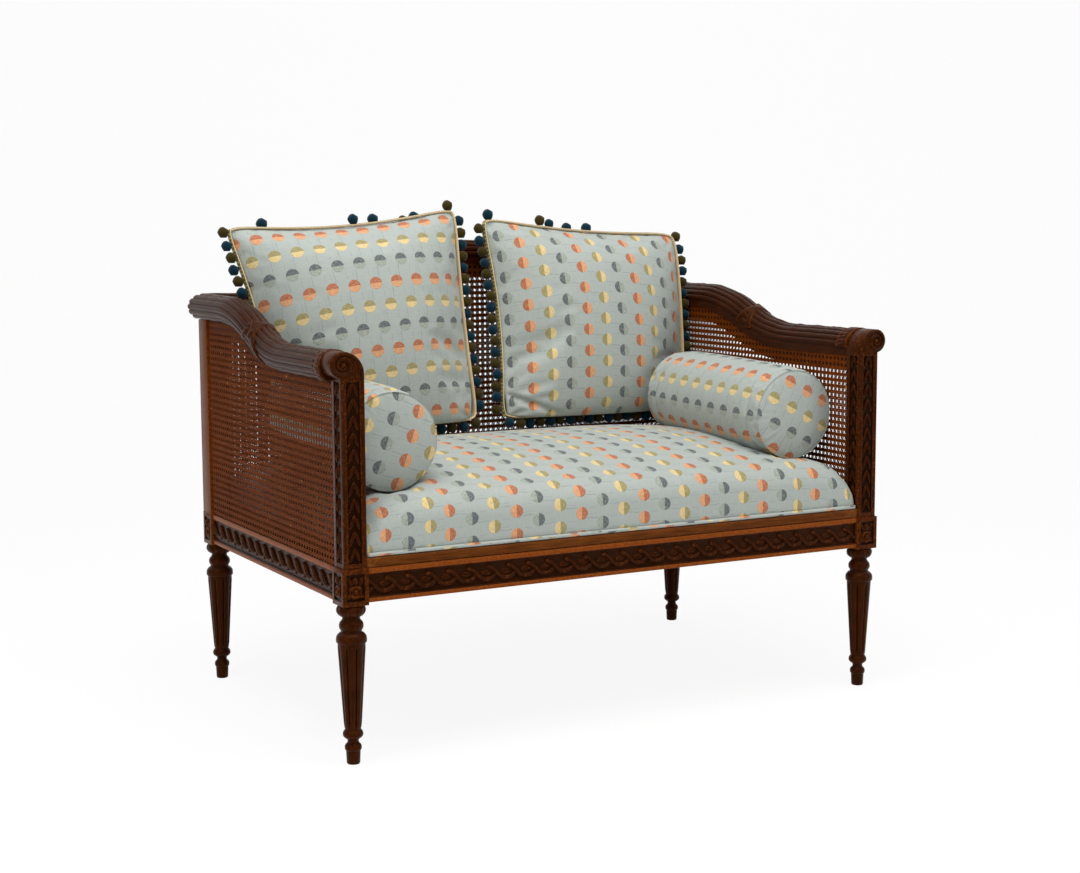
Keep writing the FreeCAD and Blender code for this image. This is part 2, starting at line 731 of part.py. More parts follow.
cleat = S["cleat_side"]
cleat_low = frame_low - cleat
inner_side = rail_side - S["rail_thick"]
inner_front = rail_front + S["rail_thick"]
inner_back = rail_back - S["rail_thick"]
corner = S["corner_block"]
cloth = S["cloth_thick"]
cleat_end = inner_side - corner
cleat_left = ZERO - cleat_end
left_inner = ZERO - inner_side
cleat_start = inner_front + corner
cleat_stop = inner_back - corner
cleats = [
    box("cleat_front", (cleat_left, inner_front, cleat_low), (cleat_end, inner_front + cleat, frame_low)),
    box("cleat_rear", (cleat_left, inner_back - cleat, cleat_low), (cleat_end, inner_back, frame_low)),
    box("cleat_left", (left_inner, cleat_start, cleat_low), (cleat - inner_side, cleat_stop, frame_low)),
    box("cleat_right", (inner_side - cleat, cleat_start, cleat_low), (inner_side, cleat_stop, frame_low)),
]
group("seat_cleats", cleats)


def corner_prism(name, turn, x, y):
    """A triangular block in one corner of the seat rails."""
    size = N["corner_block"]
    triangle = Part.Face(Part.makePolygon([V(), V(size, 0, 0), V(0, size, 0), V()]))
    piece = feature(name, triangle.extrude(V(0, 0, N["cleat_side"])))
    place(piece, x, y, cleat_low - cloth, turn=turn)
    return piece


corners = [
    corner_prism("front_left_block", 0, ZERO - inner_side, inner_front),
    corner_prism("front_right_block", 90, inner_side, inner_front),
    corner_prism("rear_right_block", 180, inner_side, inner_back),
    corner_prism("rear_left_block", 270, ZERO - inner_side, inner_back),
]
group("corner_blocks", corners)

thick = S["web_thick"]
web = S["web_width"]
web_middle = frame_top - thick
web_low = web_middle - thick
inside_front = frame_front + width
inside_back = frame_back - width
straps = []


def spaced(start, end, count):
    """The near edges of straps that share out the way from start to end."""
    step = (end - start - web * count) / (count + 1)
    return [start + step * (index + 1) + web * index for index in range(count)]


for side_name, low_x, high_x in (
    ("left", left_side + width, ZERO - width / 2),
    ("right", width / 2, frame_side - width),
):
    for index, at in enumerate(spaced(low_x, high_x, 5)):
        name = "web_" + side_name + "_lengthways_" + str(index)
        straps.append(box(name, (at, inside_front, web_low), (at + web, inside_back, web_middle)))
    for index, at in enumerate(spaced(inside_front, inside_back, 6)):
        name = "web_" + side_name + "_crossways_" + str(index)
        straps.append(box(name, (low_x, at, web_middle), (high_x, at + web, frame_top)))
group("seat_webbing", straps)

hessian_high = (frame_side, frame_back, frame_top + cloth)
keep("seat_hessian", box("hessian", (left_side, frame_front, frame_top), hessian_high))
dust_low = (left_side + cleat, frame_front + cleat, frame_low - cloth)
keep("dust_cover", box("dust_cloth", dust_low, (frame_side - cleat, frame_back - cleat, frame_low)))


# Upholstered seat: sections across the depth, joined from end to end
def seat_section(x, edge, crown, rear):
    """Front up to its rounded edge, over the crown to the back, and flat underneath."""
    bottom = N["seat_bottom"]
    front = -N["seat_front"]
    back = N["seat_back"]
    radius = min(N["seat_round"], (edge - bottom) * 0.7)
    bend_point = radius * (1 - math.sqrt(0.5))
    points = [
        V(x, front, bottom),
        V(x, front, edge - radius),
        V(x, front + bend_point, edge - bend_point),
        V(x, front + radius, edge),
        V(x, N["seat_crown_y"], crown),
        V(x, back, rear),
        V(x, back, bottom),
    ]
    rounded = Part.Arc(points[1], points[2], points[3]).toShape().discretize(5)
    domed = Part.Arc(points[3], points[4], points[5]).toShape().discretize(11)
    return [points[0]] + rounded[:-1] + domed + [points[6]]


def seat_cushion():
    """The front edge falls in a short shoulder at each end, and the crown falls more gently."""
    falls = ((0.35, 0, 0), (0.68, 0, 0.08), (0.83, 0.03, 0.34), (0.92, 0.2, 0.5), (0.97, 0.52, 0.7), (1, 1, 1))
    sections = []
    for share, edge_fall, crown_fall in [(-row[0],) + row[1:] for row in reversed(falls)] + list(falls):
        edge = N["seat_edge"] - (N["seat_edge"] - N["seat_end"]) * edge_fall
        crown = N["seat_crown"] - (N["seat_crown"] - N["seat_end_crown"]) * crown_fall
        rear = N["seat_rear"] - (N["seat_rear"] - N["seat_end_crown"] + 1) * crown_fall
        sections.append(seat_section(N["seat_side"] * share, edge, crown, rear))
    return skinned(sections)


keep("seat_cushion", feature("seat", seat_cushion()))
welt = doc.addObject("Part::Cylinder", "welt")
bind(welt, Radius=S["welt_radius"], Height=S["seat_side"] * 2)
welt.Placement = FreeCAD.Placement(V(), FreeCAD.Rotation(V(0, 1, 0), 90))
welt_y = ZERO - S["seat_front"] - S["welt_radius"]
place(welt, ZERO - S["seat_side"], welt_y, S["seat_bottom"] + S["welt_radius"])
keep("seat_welt", welt)


# Pillows: crowned, with sides that pull in, and a braid tape with pompoms in the seam
class Pillow:
    """Four corners in the seam plane, lower left first and anticlockwise, and how far each side pulls in."""

    def __init__(self, side, draws):
        rest = N["pillow_rest"]
        stretch = 1 / math.cos(math.radians(N["pillow_lean"]))
        left_top = (N[side + "_top_left"] - rest) * stretch
        right_top = (N[side + "_top_right"] - rest) * stretch
        self.corners = [
            V(N[side + "_low_left"], 0, 0),
            V(N[side + "_low_right"], 0, 0),
            V(N[side + "_high_right"], 0, right_top),
            V(N[side + "_high_left"], 0, left_top),
        ]
        self.draws = draws

    def spot(self, right, up):
        """A place in the seam plane, where right and up run from -1 to 1 between the corners."""
        low_left, low_right, high_right, high_left = self.corners
        lower, outer_right, upper, outer_left = self.draws
        low = low_left + (low_right - low_left) * ((1 + right) / 2)
        high = high_left + (high_right - high_left) * ((1 + right) / 2)
        place_in_plane = low + (high - low) * ((1 + up) / 2)
        inward = (outer_left * (1 - right) - outer_right * (1 + right)) / 2
        level = (lower * (1 - up) - upper * (1 + up)) / 2
        return place_in_plane + V(inward * (1 - up ** 2), 0, level * (1 - right ** 2))

    def sides(self, shares):
        """The seam's spots along each of its four sides, for shares from 0 to 1."""
        runs = [2 * share - 1 for share in shares]
        return [
            [self.spot(run, -1) for run in runs],
            [self.spot(1, run) for run in runs],
            [self.spot(-run, 1) for run in runs],
            [self.spot(-1, -run) for run in runs],
        ]

    def body(self):
        """Rows of panels from the lower seam to the upper one, thickest in the middle."""
        seam = N["pillow_seam"]
        swell = N["pillow_thick"] / 2 - seam
        panels = int(N["pillow_panels"])
        turns = [math.pi * index / panels for index in range(panels + 1)]
        rings = []
        for height in turns:
            front = []
            for across in turns:
                spot = self.spot(-math.cos(across), -math.cos(height))
                front.append(spot - V(0, seam + swell * math.sin(across) * math.sin(height), 0))
            rings.append(front + [V(spot.x, -spot.y, spot.z) for spot in reversed(front)])
        ends = []
        for row in (rings[0], rings[-1]):
            for index in range(panels):
                ends.append(flat_face([row[index], row[index + 1], row[-2 - index], row[-1 - index]]))
        return skinned(rings, ends)

    def trim(self):
        """The tape lies round the seam and carries a pompom at every pitch."""
        half = N["tape_thick"] / 2
        panels = int(N["pillow_panels"])
        turns = [math.pi * index / panels for index in range(panels)]
        seam = [spot for side in self.sides([(1 - math.cos(turn)) / 2 for turn in turns]) for spot in side]
        outline = Part.makePolygon(seam + seam[:1])
        tape = outline.makeOffset2D(N["tape_width"], 2, True)
        tape.translate(V(0, -half, 0))
        solids = tape.extrude(V(0, half * 2, 0)).Solids
        out = N["tape_width"] + N["pompom_radius"] - 1
        for first, last in zip(self.corners, self.corners[1:] + self.corners[:1]):
            count = round((last - first).Length / N["pompom_pitch"])
            shares = [(index + 0.5) / count for index in range(count)]
            side = self.sides(shares)[self.corners.index(first)]
            for index, spot in enumerate(side):
                way = side[min(index + 1, count - 1)] - side[max(index - 1, 0)]
                outward = V(way.z, 0, -way.x).normalize()
                solids.append(pompom(spot + outward * out, outward))
        return Part.Compound(solids)


def pompom(centre, outward):
    """A ball of wool, kept to twelve flat faces because there are so many."""
    radius = N["pompom_radius"]
    across = V(0, 1, 0).cross(outward)
    girdle = []
    for index in range(6):
        angle = math.radians(60 * index)
        girdle.append(centre + outward * (radius * math.cos(angle)) + across * (radius * math.sin(angle)))
    faces = []
    for tip in (centre + V(0, radius, 0), centre - V(0, radius, 0)):
        for index, corner in enumerate(girdle):
            faces.append(flat_face([girdle[index - 1], corner, tip]))
    return Part.Solid(Part.Shell(faces))


lean = FreeCAD.Rotation(V(1, 0, 0), -N["pillow_lean"])
lower_draw = N["lower_draw"]
upper_draw = N["upper_draw"]
side_draw = N["side_draw"]
PILLOWS = (
    ("left", (lower_draw, side_draw, upper_draw, N["left_pillow_draw"])),
    ("right", (lower_draw, N["right_pillow_draw"], upper_draw, side_draw)),
)
for side, draws in PILLOWS:
    pillow = Pillow(side, draws)
    for name, shape in ((side + "_pillow", pillow.body()), (side + "_pillow_trim", pillow.trim())):
        piece = feature(name + "_shape", shape)
        piece.Placement = FreeCAD.Placement(V(), lean)
        place(piece, None, S["pillow_y"], S["pillow_rest"])
        keep(name, piece)


# Bolsters: a plump roll with two domed ends
def bolster(name, x):
    """Rings of corners along the roll: dome, end seam, plump middle, end seam, dome."""
    end = N["bolster_end"]
    full = N["bolster_radius"]
    long = N["bolster_length"]
    dome = N["bolster_dome"]
    stations = [
        (-dome, end * 0.3),
        (-dome * 0.72, end * 0.68),
        (0, end),
        (long * 0.12, full),
        (long * 0.88, full),
        (long, end),
        (long + dome * 0.72, end * 0.68),
        (long + dome, end * 0.3),
    ]
    count = int(N["bolster_corners"])
    angles = [2 * math.pi * (index + 0.5) / count for index in range(count)]
    rings = []
    for along_roll, radius in stations:
        rings.append([V(math.cos(angle) * radius, along_roll, math.sin(angle) * radius) for angle in angles])
    roll = feature(name + "_roll", skinned(rings))
    roll.Placement = FreeCAD.Placement(V(), FreeCAD.Rotation(V(1, 0, 0), N["bolster_tilt"]))
    place(roll, x, ZERO - S["bolster_front"], S["bolster_z"])
    return keep(name, roll)


bolster("left_bolster", ZERO - S["bolster_x"])
bolster("right_bolster", S["bolster_x"])


# Test every object, then write one file for each node
FOLDER = "parts"
os.makedirs(FOLDER, exist_ok=True)
doc.recompute()
for thing in doc.Objects:
    if "Invalid" in thing.State or "Error" in thing.State:
        raise RuntimeError(thing.Name + " failed: " + str(thing.State))
for name, thing in nodes.items():
    shape = thing.Shape
    if shape.isNull() or not shape.isValid():
        raise RuntimeError(name + " has no valid shape")
    if min(solid.Volume for solid in shape.Solids) <= 0:
        raise RuntimeError(name + " has a solid with no volume")
    shape.exportStep(FOLDER + "/" + name + ".step")
    print(name, len(shape.Solids), "solid", round(shape.Volume / 1000), "cm3")
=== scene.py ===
# %% [markdown]
# # A caned settee with its cushions
# The carved frame, the double cane and the stuffed pieces are dressed one after another over a fixed
# construction model. That model gives every place and size, so each piece here is modelled in
# millimetres where it really sits and is only scaled to metres at the end.

# %% The fixed frame
import math
import bmesh
import bpy
import numpy as np
from mathutils import Matrix, Vector
from mathutils.geometry import tessellate_polygon


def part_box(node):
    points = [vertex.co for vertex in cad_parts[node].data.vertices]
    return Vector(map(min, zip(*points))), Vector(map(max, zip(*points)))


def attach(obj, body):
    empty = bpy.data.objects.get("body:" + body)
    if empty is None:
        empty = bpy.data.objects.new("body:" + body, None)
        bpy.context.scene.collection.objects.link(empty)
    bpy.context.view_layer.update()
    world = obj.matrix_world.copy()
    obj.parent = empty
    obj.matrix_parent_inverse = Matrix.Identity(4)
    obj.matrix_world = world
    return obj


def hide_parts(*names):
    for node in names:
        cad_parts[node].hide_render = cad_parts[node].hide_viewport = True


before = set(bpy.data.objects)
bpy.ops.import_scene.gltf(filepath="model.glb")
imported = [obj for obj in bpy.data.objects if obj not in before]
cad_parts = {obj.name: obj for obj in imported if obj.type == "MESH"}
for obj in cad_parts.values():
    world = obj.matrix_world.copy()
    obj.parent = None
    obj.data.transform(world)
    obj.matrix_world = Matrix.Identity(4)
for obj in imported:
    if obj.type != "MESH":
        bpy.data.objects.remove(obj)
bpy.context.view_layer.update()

# %% [markdown]
# ## Small helpers
# A finish is a tree of nodes, so one function adds any node: its inputs in their order or by name, each
# as a value or as the socket that feeds it, and its settings by name. Colours are picked as sRGB hex
# and turned to linear once. A noise counts its blotches per metre, so its scale is worked out from the
# size of one blotch in millimetres.

# %% Colour and node helpers
MM = 0.001

def linear(code):
    parts = [int(code[i:i + 2], 16) / 255 for i in (1, 3, 5)]
    return [p / 12.92 if p <= 0.04045 else ((p + 0.055) / 1.055) ** 2.4 for p in parts] + [1.0]

def per_metre(size):
    return 1 / (size * MM)

def feed(tree, node, inputs):
    """Sets inputs from plain values, from sRGB hex or from the sockets that feed them."""
    for key, value in inputs.items():
        if isinstance(value, bpy.types.NodeSocket):
            tree.links.new(value, node.inputs[key])
        elif isinstance(value, str) and value.startswith("#"):
            node.inputs[key].default_value = linear(value)
        else:
            node.inputs[key].default_value = value

def add(tree, kind, *values, out=0, **settings):
    """Adds a node of any kind, whose operation may follow a dot, and gives back one of its outputs."""
    kind, _, operation = kind.partition(".")
    made = tree.nodes.new(kind if "Node" in kind else "ShaderNode" + kind)
    if operation:
        made.operation = operation
    for key, value in settings.items():
        setattr(made, key, value)
    feed(tree, made, values[0] if values and isinstance(values[0], dict) else dict(enumerate(values)))
    return made.outputs if out is None else made.outputs[out]

def finish(name):
    """A new material with its tree, its main shader and the object's own coordinates."""
    material = bpy.data.materials.new(name)
    material.use_nodes = True
    tree = material.node_tree
    place = add(tree, "TexCoord", out="Object")
    return material, tree, tree.nodes["Principled BSDF"], place

# %% [markdown]
# ## Floor, light and camera
# The picture is a plain studio shot. A pale sweep stands in for the paper, a dim even sky fills the
# shadows, and three large soft lamps stay at a level where colours come out as they are written. The
# camera's spot and turn were found from the legs' feet and the seat rails' corners.

# %% Floor and backdrop
PAPER, PAPER_HALF, PAPER_FAR, PAPER_HIGH, SWEEP_R = "#FAFAF9", 9000, 2600, 6000, 900
VIEW_TURN = math.radians(28.61)
# How strongly the white shows in what a gloss mirrors, and how strong the sky is as a light
MIRRORED, SKY = 0.4, 0.38

def turned_out(along, across):
    return (along * math.sin(VIEW_TURN) + across * math.cos(VIEW_TURN),
            along * math.cos(VIEW_TURN) - across * math.sin(VIEW_TURN))

def to_the_eye(tree):
    """1 for what is seen straight or through glass, less for what is mirrored, 0 for light on the object."""
    rays = add(tree, "LightPath", out=None)
    mirrored = add(tree, "Math.MULTIPLY", rays["Is Glossy Ray"], MIRRORED)
    return add(tree, "Math.MAXIMUM", rays["Is Camera Ray"],
               add(tree, "Math.MAXIMUM", mirrored, rays["Is Transmission Ray"]))

sweep = [(-PAPER_HALF, 0), (PAPER_FAR, 0)]
sweep += [(PAPER_FAR + SWEEP_R * math.sin(a), SWEEP_R * (1 - math.cos(a))) for a in np.linspace(0.1, math.pi / 2, 12)]
sweep.append((PAPER_FAR + SWEEP_R, PAPER_HIGH))
paper_mesh = bpy.data.meshes.new("studio_paper")
paper_mesh.from_pydata([[v * MM for v in (*turned_out(along, across), up)]
                        for along, up in sweep for across in (-PAPER_HALF, PAPER_HALF)], [],
                       [(2 * i, 2 * i + 1, 2 * i + 3, 2 * i + 2) for i in range(len(sweep) - 1)])
paper_mesh.polygons.foreach_set("use_smooth", [True] * len(paper_mesh.polygons))
paper = bpy.data.objects.new("studio_paper", paper_mesh)
bpy.context.collection.objects.link(paper)
# Uncoated paper scatters light evenly and hardly shines
material, tree, shader, place = finish("matt studio paper")
feed(tree, shader, {"Base Color": PAPER, "Roughness": 0.9, "Specular IOR Level": 0.1})
glow = add(tree, "Emission", {"Color": "#FFFFFF", "Strength": 1.0})
# The paper shows nearly white, and a tenth of its look stays plain paper that holds the shadow
both = add(tree, "MixShader", add(tree, "Math.MULTIPLY", to_the_eye(tree), 0.9), shader.outputs[0], glow)
tree.links.new(both, tree.nodes["Material Output"].inputs["Surface"])
paper_mesh.materials.append(material)
print("paper", len(paper_mesh.polygons), "faces")

# %% Sky and lamps
world = bpy.data.worlds.new("plain sky")
bpy.context.scene.world = world
world.use_nodes = True
# Beyond the paper's edge the eye meets the same white, and the object is lit by the plain sky alone
feed(world.node_tree, world.node_tree.nodes["Background"], {
    "Color": "#FFFFFF", "Strength": add(world.node_tree, "Math.MAXIMUM", to_the_eye(world.node_tree), SKY)})
AIM = Vector((0, 0, 0.45))
for name, at, size, watts in (("overhead_softbox", (-0.5, -0.9, 3.4), (3.0, 2.2), 108),
                              ("left_softbox", (-3.4, -1.8, 1.7), (1.0, 1.2), 20),
                              ("right_softbox", (2.2, -3.2, 1.9), (1.0, 1.2), 19)):
    light = bpy.data.lights.new(name, "AREA")
    light.shape = "RECTANGLE"
    light.size, light.size_y = size
    light.energy = watts
    lamp = bpy.data.objects.new(name, light)
    lamp.location = at
    lamp.rotation_euler = (AIM - Vector(at)).to_track_quat("-Z", "Y").to_euler()
    bpy.context.collection.objects.link(lamp)
    print(name, watts, "W")

# %% Camera
PICTURE_WIDTH, FOCAL_PIXELS, SENSOR = 1080, 1843, 36
CAMERA_AT, TILT_DOWN, ROLL = (-1.7226, -3.1839, 0.9288), math.radians(6.86), math.radians(-0.25)
lens = bpy.data.cameras.new("photo_camera")
lens.sensor_fit = "HORIZONTAL"
lens.sensor_width = SENSOR
lens.lens = FOCAL_PIXELS / PICTURE_WIDTH * SENSOR
camera = bpy.data.objects.new("photo_camera", lens)
camera.matrix_world = (Matrix.Translation(CAMERA_AT) @ Matrix.Rotation(-VIEW_TURN, 4, "Z")
                       @ Matrix.Rotation(math.pi / 2 - TILT_DOWN, 4, "X") @ Matrix.Rotation(ROLL, 4, "Z"))
bpy.context.collection.objects.link(camera)
bpy.context.scene.camera = camera
bpy.context.scene.view_settings.view_transform = "Standard"
print("lens", round(lens.lens, 2), "mm")

# %% [markdown]
# ## Wood
# The frame is stained beech carved by hand and waxed. The eye reads it by three things: a dark red
# brown stain that lies deepest in the hollows, where painted shade deepens it to near black, orange
# wood that shows where hands and dusters rubbed the stain from the ridges, and a low wax gloss broken
# up by the tool marks. The mesh itself knows its ridges, so each wooden piece carries an attribute called
# wear_and_shade, from 0 in a hollow to 1 on a ridge: ridges take rubbed wear from it and hollows painted
# shade. The colour starts from it.

# %% Stained and waxed wood
AMBER = "#CF9560"

def woodwork(name, hollow, flat, ridge, dust, gloss, grain_along):
    material, tree, shader, place = finish(name)
    # Pores are 2 mm wide here and 45 mm long, coarser than real beech so that they show
    stretch = [per_metre(2.083)] * 3
    stretch[grain_along] = per_metre(44.64)
    laid = add(tree, "Mapping", {"Vector": place, "Scale": stretch})
    grain = add(tree, "TexNoise", {"Vector": laid, "Scale": 1.0, "Detail": 5.0})
    mottle = add(tree, "TexNoise", {"Vector": place, "Scale": per_metre(38.46), "Detail": 4.0})
    nicks = add(tree, "TexNoise", {"Vector": place, "Scale": per_metre(4.762), "Detail": 3.0})
    wear_and_shade = add(tree, "Attribute", attribute_name="wear_and_shade", out="Fac")
    rough_edge = add(tree, "Math.ADD", wear_and_shade, add(tree, "Math.MULTIPLY", add(tree, "Math.SUBTRACT", nicks, 0.5), 0.45))
    rubbed = add(tree, "MapRange", {0: rough_edge, 1: 0.62, 2: 1.0})
    # Below a half, wear_and_shade darkens the stain towards the hollow colour: partly stain lying in the hollows,
    # partly painted shade
    sunk = add(tree, "MapRange", {0: wear_and_shade, 1: 0.5, 2: 0.15})
    stain = add(tree, "Mix", {0: mottle, 6: flat[0], 7: flat[1]}, out=2, data_type="RGBA")
    streaks = add(tree, "MapRange", {0: grain, 1: 0.42, 2: 0.7, 3: 0.0, 4: 0.55})
    stain = add(tree, "Mix", {0: streaks, 6: stain, 7: hollow}, out=2, data_type="RGBA")
    stain = add(tree, "Mix", {0: sunk, 6: stain, 7: hollow}, out=2, data_type="RGBA")
    stain = add(tree, "Mix", {0: add(tree, "Math.MULTIPLY", rubbed, 0.75), 6: stain, 7: ridge}, out=2,
                data_type="RGBA")
    up = add(tree, "SeparateXYZ", {0: add(tree, "NewGeometry", out="Normal")}, out=2)
    settled = add(tree, "MapRange", {0: up, 1: 0.35, 2: 1.0, 3: 0.0, 4: dust[1]})
    settled = add(tree, "Math.MULTIPLY", settled, mottle)
    shine = add(tree, "Math.ADD", add(tree, "Math.MULTIPLY", mottle, 0.16), gloss)
    height = add(tree, "Math.ADD", grain, add(tree, "Math.MULTIPLY", nicks, 0.8))
    # Old wax is amber, so what it reflects face on is amber too
    feed(tree, shader, {"Base Color": add(tree, "Mix", {0: settled, 6: stain, 7: dust[0]}, out=2, data_type="RGBA"),
                        "Roughness": add(tree, "Math.ADD", shine, settled),
                        "Normal": add(tree, "Bump", {"Strength": 0.35, "Distance": 0.0006, "Height": height}),
                        "Specular IOR Level": 0.13, "Specular Tint": AMBER})
    return material

carved = {}
# Their near black hollow colour is the stain with painted shade laid over it
for letter, axis in (("x", 0), ("y", 1), ("z", 2)):
    carved[letter] = woodwork("stained carved beech, grain along " + letter, "#080201", ("#230D03", "#421C08"),
                              "#9A4E1A", ("#5E4838", 0.12), 0.24, axis)
# The strip is handled most, so it is lighter than the carving. The hidden timber was never stained
rubbed = woodwork("rubbed beech of the front strip", "#200D04", ("#45200A", "#743F17"), "#A9652A",
                  ("#7C6257", 0.15), 0.28, 0)
plain = woodwork("raw frame timber", "#6B4A2C", ("#A37B4E", "#B58B5B"), "#C9A273", ("#B9A88F", 0.3), 0.6, 0)
print("wood finishes", len(carved) + 2)

# %% [markdown]
# ## Turning points into wooden pieces
# A carved piece is a heap of simple surfaces: rows of points joined to a skin, and flat faces with a
# sunk panel. They are gathered in millimetres, merged, given outward normals, and their edges are
# softened by a bevel, because no real edge is knife sharp. Then wear_and_shade is worked out: where the
# normals of two neighbours spread apart the surface is a ridge, and where they lean together a hollow,
# which the finish darkens as painted shade.

# %% Gathering points and faces
class Work:
    """Points in millimetres and faces, gathered for one piece."""

    def __init__(self):
        self.points = []
        self.faces = []

    def add(self, points, faces):
        start = len(self.points)
        self.points += [tuple(p) for p in points]
        self.faces += [tuple(start + i for i in face) for face in faces]

    def skin(self, rows, closed=True, caps=True):
        """A skin over rows of the same length, closed round each row, with flat ends."""
        rows = np.asarray(rows, float)
        count, size = rows.shape[:2]
        steps = size if closed else size - 1
        faces = []
        for row in range(count - 1):
            for step in range(steps):
                near = row * size + step
                far = row * size + (step + 1) % size
                faces.append((near, far, far + size, near + size))
        if caps and closed:
            faces.append(tuple(reversed(range(size))))
            faces.append(tuple(range((count - 1) * size, count * size)))
        self.add(rows.reshape(-1, 3), faces)

    def holed(self, outline, hole, into):
        """A flat face with a panel sunk in it by the vector given."""
        points = [Vector(p) for p in outline] + [Vector(p) for p in hole]
        size, rim = len(outline), len(hole)
        faces = tessellate_polygon([points[:size], points[size:]])
        floor = [p + Vector(into) for p in points[size:]]
        for step in range(rim):
            after = (step + 1) % rim
            faces.append((size + step, size + after, size + rim + after, size + rim + step))
        faces.append(tuple(range(size + rim, size + 2 * rim)))
        self.add(points + floor, faces)

    def moved(self, spot):
        """The same faces over the points that spot gives for these ones."""
        other = Work()
        other.points = [spot(*point) for point in self.points]
        other.faces = list(self.faces)
        return other

    def mirrored(self):
        return self.moved(lambda x, y, z: (-x, y, z))

# %% From points to a piece
def mesh_of(name, points, faces):
    mesh = bpy.data.meshes.new(name)
    mesh.from_pydata([(x * MM, y * MM, z * MM) for x, y, z in points], [], faces)
    return mesh

def welded(mesh, gap=0.01):
    """Merges points that lie closer than the gap in millimetres and turns every face outward."""
    shape = bmesh.new()
    shape.from_mesh(mesh)
    bmesh.ops.remove_doubles(shape, verts=shape.verts, dist=gap * MM)
    bmesh.ops.recalc_face_normals(shape, faces=shape.faces)
    shape.to_mesh(mesh)
    shape.free()

def smoothed(mesh):
    mesh.polygons.foreach_set("use_smooth", [True] * len(mesh.polygons))

def set_out(name, mesh):
    """An object for the mesh, in the scene and at the origin."""
    obj = bpy.data.objects.new(name, mesh)
    bpy.context.collection.objects.link(obj)
    return obj

def handed_over(obj, body, slot, replaces=()):
    """Tells the frame which body the piece rides on and what it stands for. The slot is not used."""
    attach(obj, body)
    if replaces:
        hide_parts(*replaces)
    print(obj.name, len(obj.data.polygons), "faces")

def fixed_mesh(obj):
    """Puts the result of the modifiers into the mesh itself."""
    bpy.context.view_layer.update()
    shaped = bpy.data.meshes.new_from_object(obj.evaluated_get(bpy.context.evaluated_depsgraph_get()))
    obj.modifiers.clear()
    old, obj.data = obj.data, shaped
    bpy.data.meshes.remove(old)

def laid_out(obj):
    """The mesh's points, normals and edges as arrays."""
    mesh = obj.data
    spots = np.empty(len(mesh.vertices) * 3)
    mesh.vertices.foreach_get("co", spots)
    facing = np.empty(len(mesh.vertices) * 3)
    mesh.vertex_normals.foreach_get("vector", facing)
    edges = np.empty(len(mesh.edges) * 2, int)
    mesh.edges.foreach_get("vertices", edges)
    return spots.reshape(-1, 3), facing.reshape(-1, 3), edges.reshape(-1, 2)

def worn_and_shaded(obj, reach=0.0014):
    """Adds the attribute wear_and_shade: 0 in a hollow, a half on the flat, 1 on a ridge. Ridges are rubbed lighter
    with it as wear, and hollows darkened with it as painted shade.
    """
    spots, facing, edges = laid_out(obj)
    first, second = edges.T
    gap = spots[second] - spots[first]
    spread = ((facing[second] - facing[first]) * gap).sum(1) / np.maximum((gap ** 2).sum(1), (0.4 * MM) ** 2)
    total, times = np.zeros(len(spots)), np.zeros(len(spots))
    for ends in (first, second):
        np.add.at(total, ends, spread)
        np.add.at(times, ends, 1)
    value = 0.5 + 0.5 * np.tanh(total / np.maximum(times, 1) * reach)
    near, share = np.zeros(len(spots)), np.zeros(len(spots))
    for here, there in ((first, second), (second, first)):
        np.add.at(near, here, value[there])
        np.add.at(share, here, 1)
    value = 0.5 * value + 0.5 * near / np.maximum(share, 1)
    layer = obj.data.attributes.new("wear_and_shade", "FLOAT", "POINT")
    layer.data.foreach_set("value", value)

def wooden(name, work, material, replaces=(), edge=0.8, slot="carved_wood"):
    """One wooden piece from gathered points, in place on the frame's body, its edges softened by edge."""
    obj = set_out(name, mesh_of(name, work.points, work.faces))
    welded(obj.data)
    if edge:
        bevel = obj.modifiers.new("soft edges", "BEVEL")
        bevel.width, bevel.segments = edge * MM, 2
        bevel.limit_method, bevel.angle_limit = "ANGLE", math.radians(35)
        fixed_mesh(obj)
    smoothed(obj.data)
    obj.data.set_sharp_from_angle(angle=math.radians(50))
    worn_and_shaded(obj)
    obj.data.materials.clear()
    obj.data.materials.append(material)
    handed_over(obj, "frame", slot, replaces)
    return obj

# %% [markdown]
# ## Legs
# Each leg is one length of beech: turned on a lathe into foot, rings, taper and knob, then fluted
# and carved, and left square above as the block that takes the seat rails. A lathe's work is a line
# turned round an axis, so the leg is a stack of rings whose radius follows one list of heights, and
# the flutes and the leaves on the knob are waves on that radius.

# %% The turned line
LEG_X, LEG_FRONT, LEG_BACK = 540, -346, 334
turned_line = [
    (0, 0), (0, 8), (0.8, 10.6), (3, 11.6), (23, 12.4), (24, 12.4), (25, 13.6), (27, 14.5), (31, 14.6), (34, 13.6),
    (36, 11.6), (38, 10), (40.5, 9.5), (43, 10), (45, 12), (47, 15), (49.5, 17), (52.5, 17.6), (56, 17.1),
    (58.5, 15.6), (60, 14.2), (62, 13.6), (63.5, 14.2), (66, 14.6), (209, 23.6), (211, 23.9), (211.7, 24.2),
    (212.2, 25.6), (214, 26.3), (219, 26.3), (223, 25.4), (226, 23.2), (228.5, 20.4), (229.5, 18.4), (231, 17.6),
    (233.5, 18.4), (236, 20), (239, 20.9), (243, 20.8), (247, 19.4), (249.5, 17), (252, 15.4), (255, 15),
    (256.5, 16.4), (258, 19.6), (261, 23), (264.5, 25), (268, 25.5), (271.5, 24.9), (274.5, 23), (277, 20), (278, 18),
    (279.5, 0),
]

def between(line, heights):
    return np.interp(heights, [h for h, _ in line], [r for _, r in line])

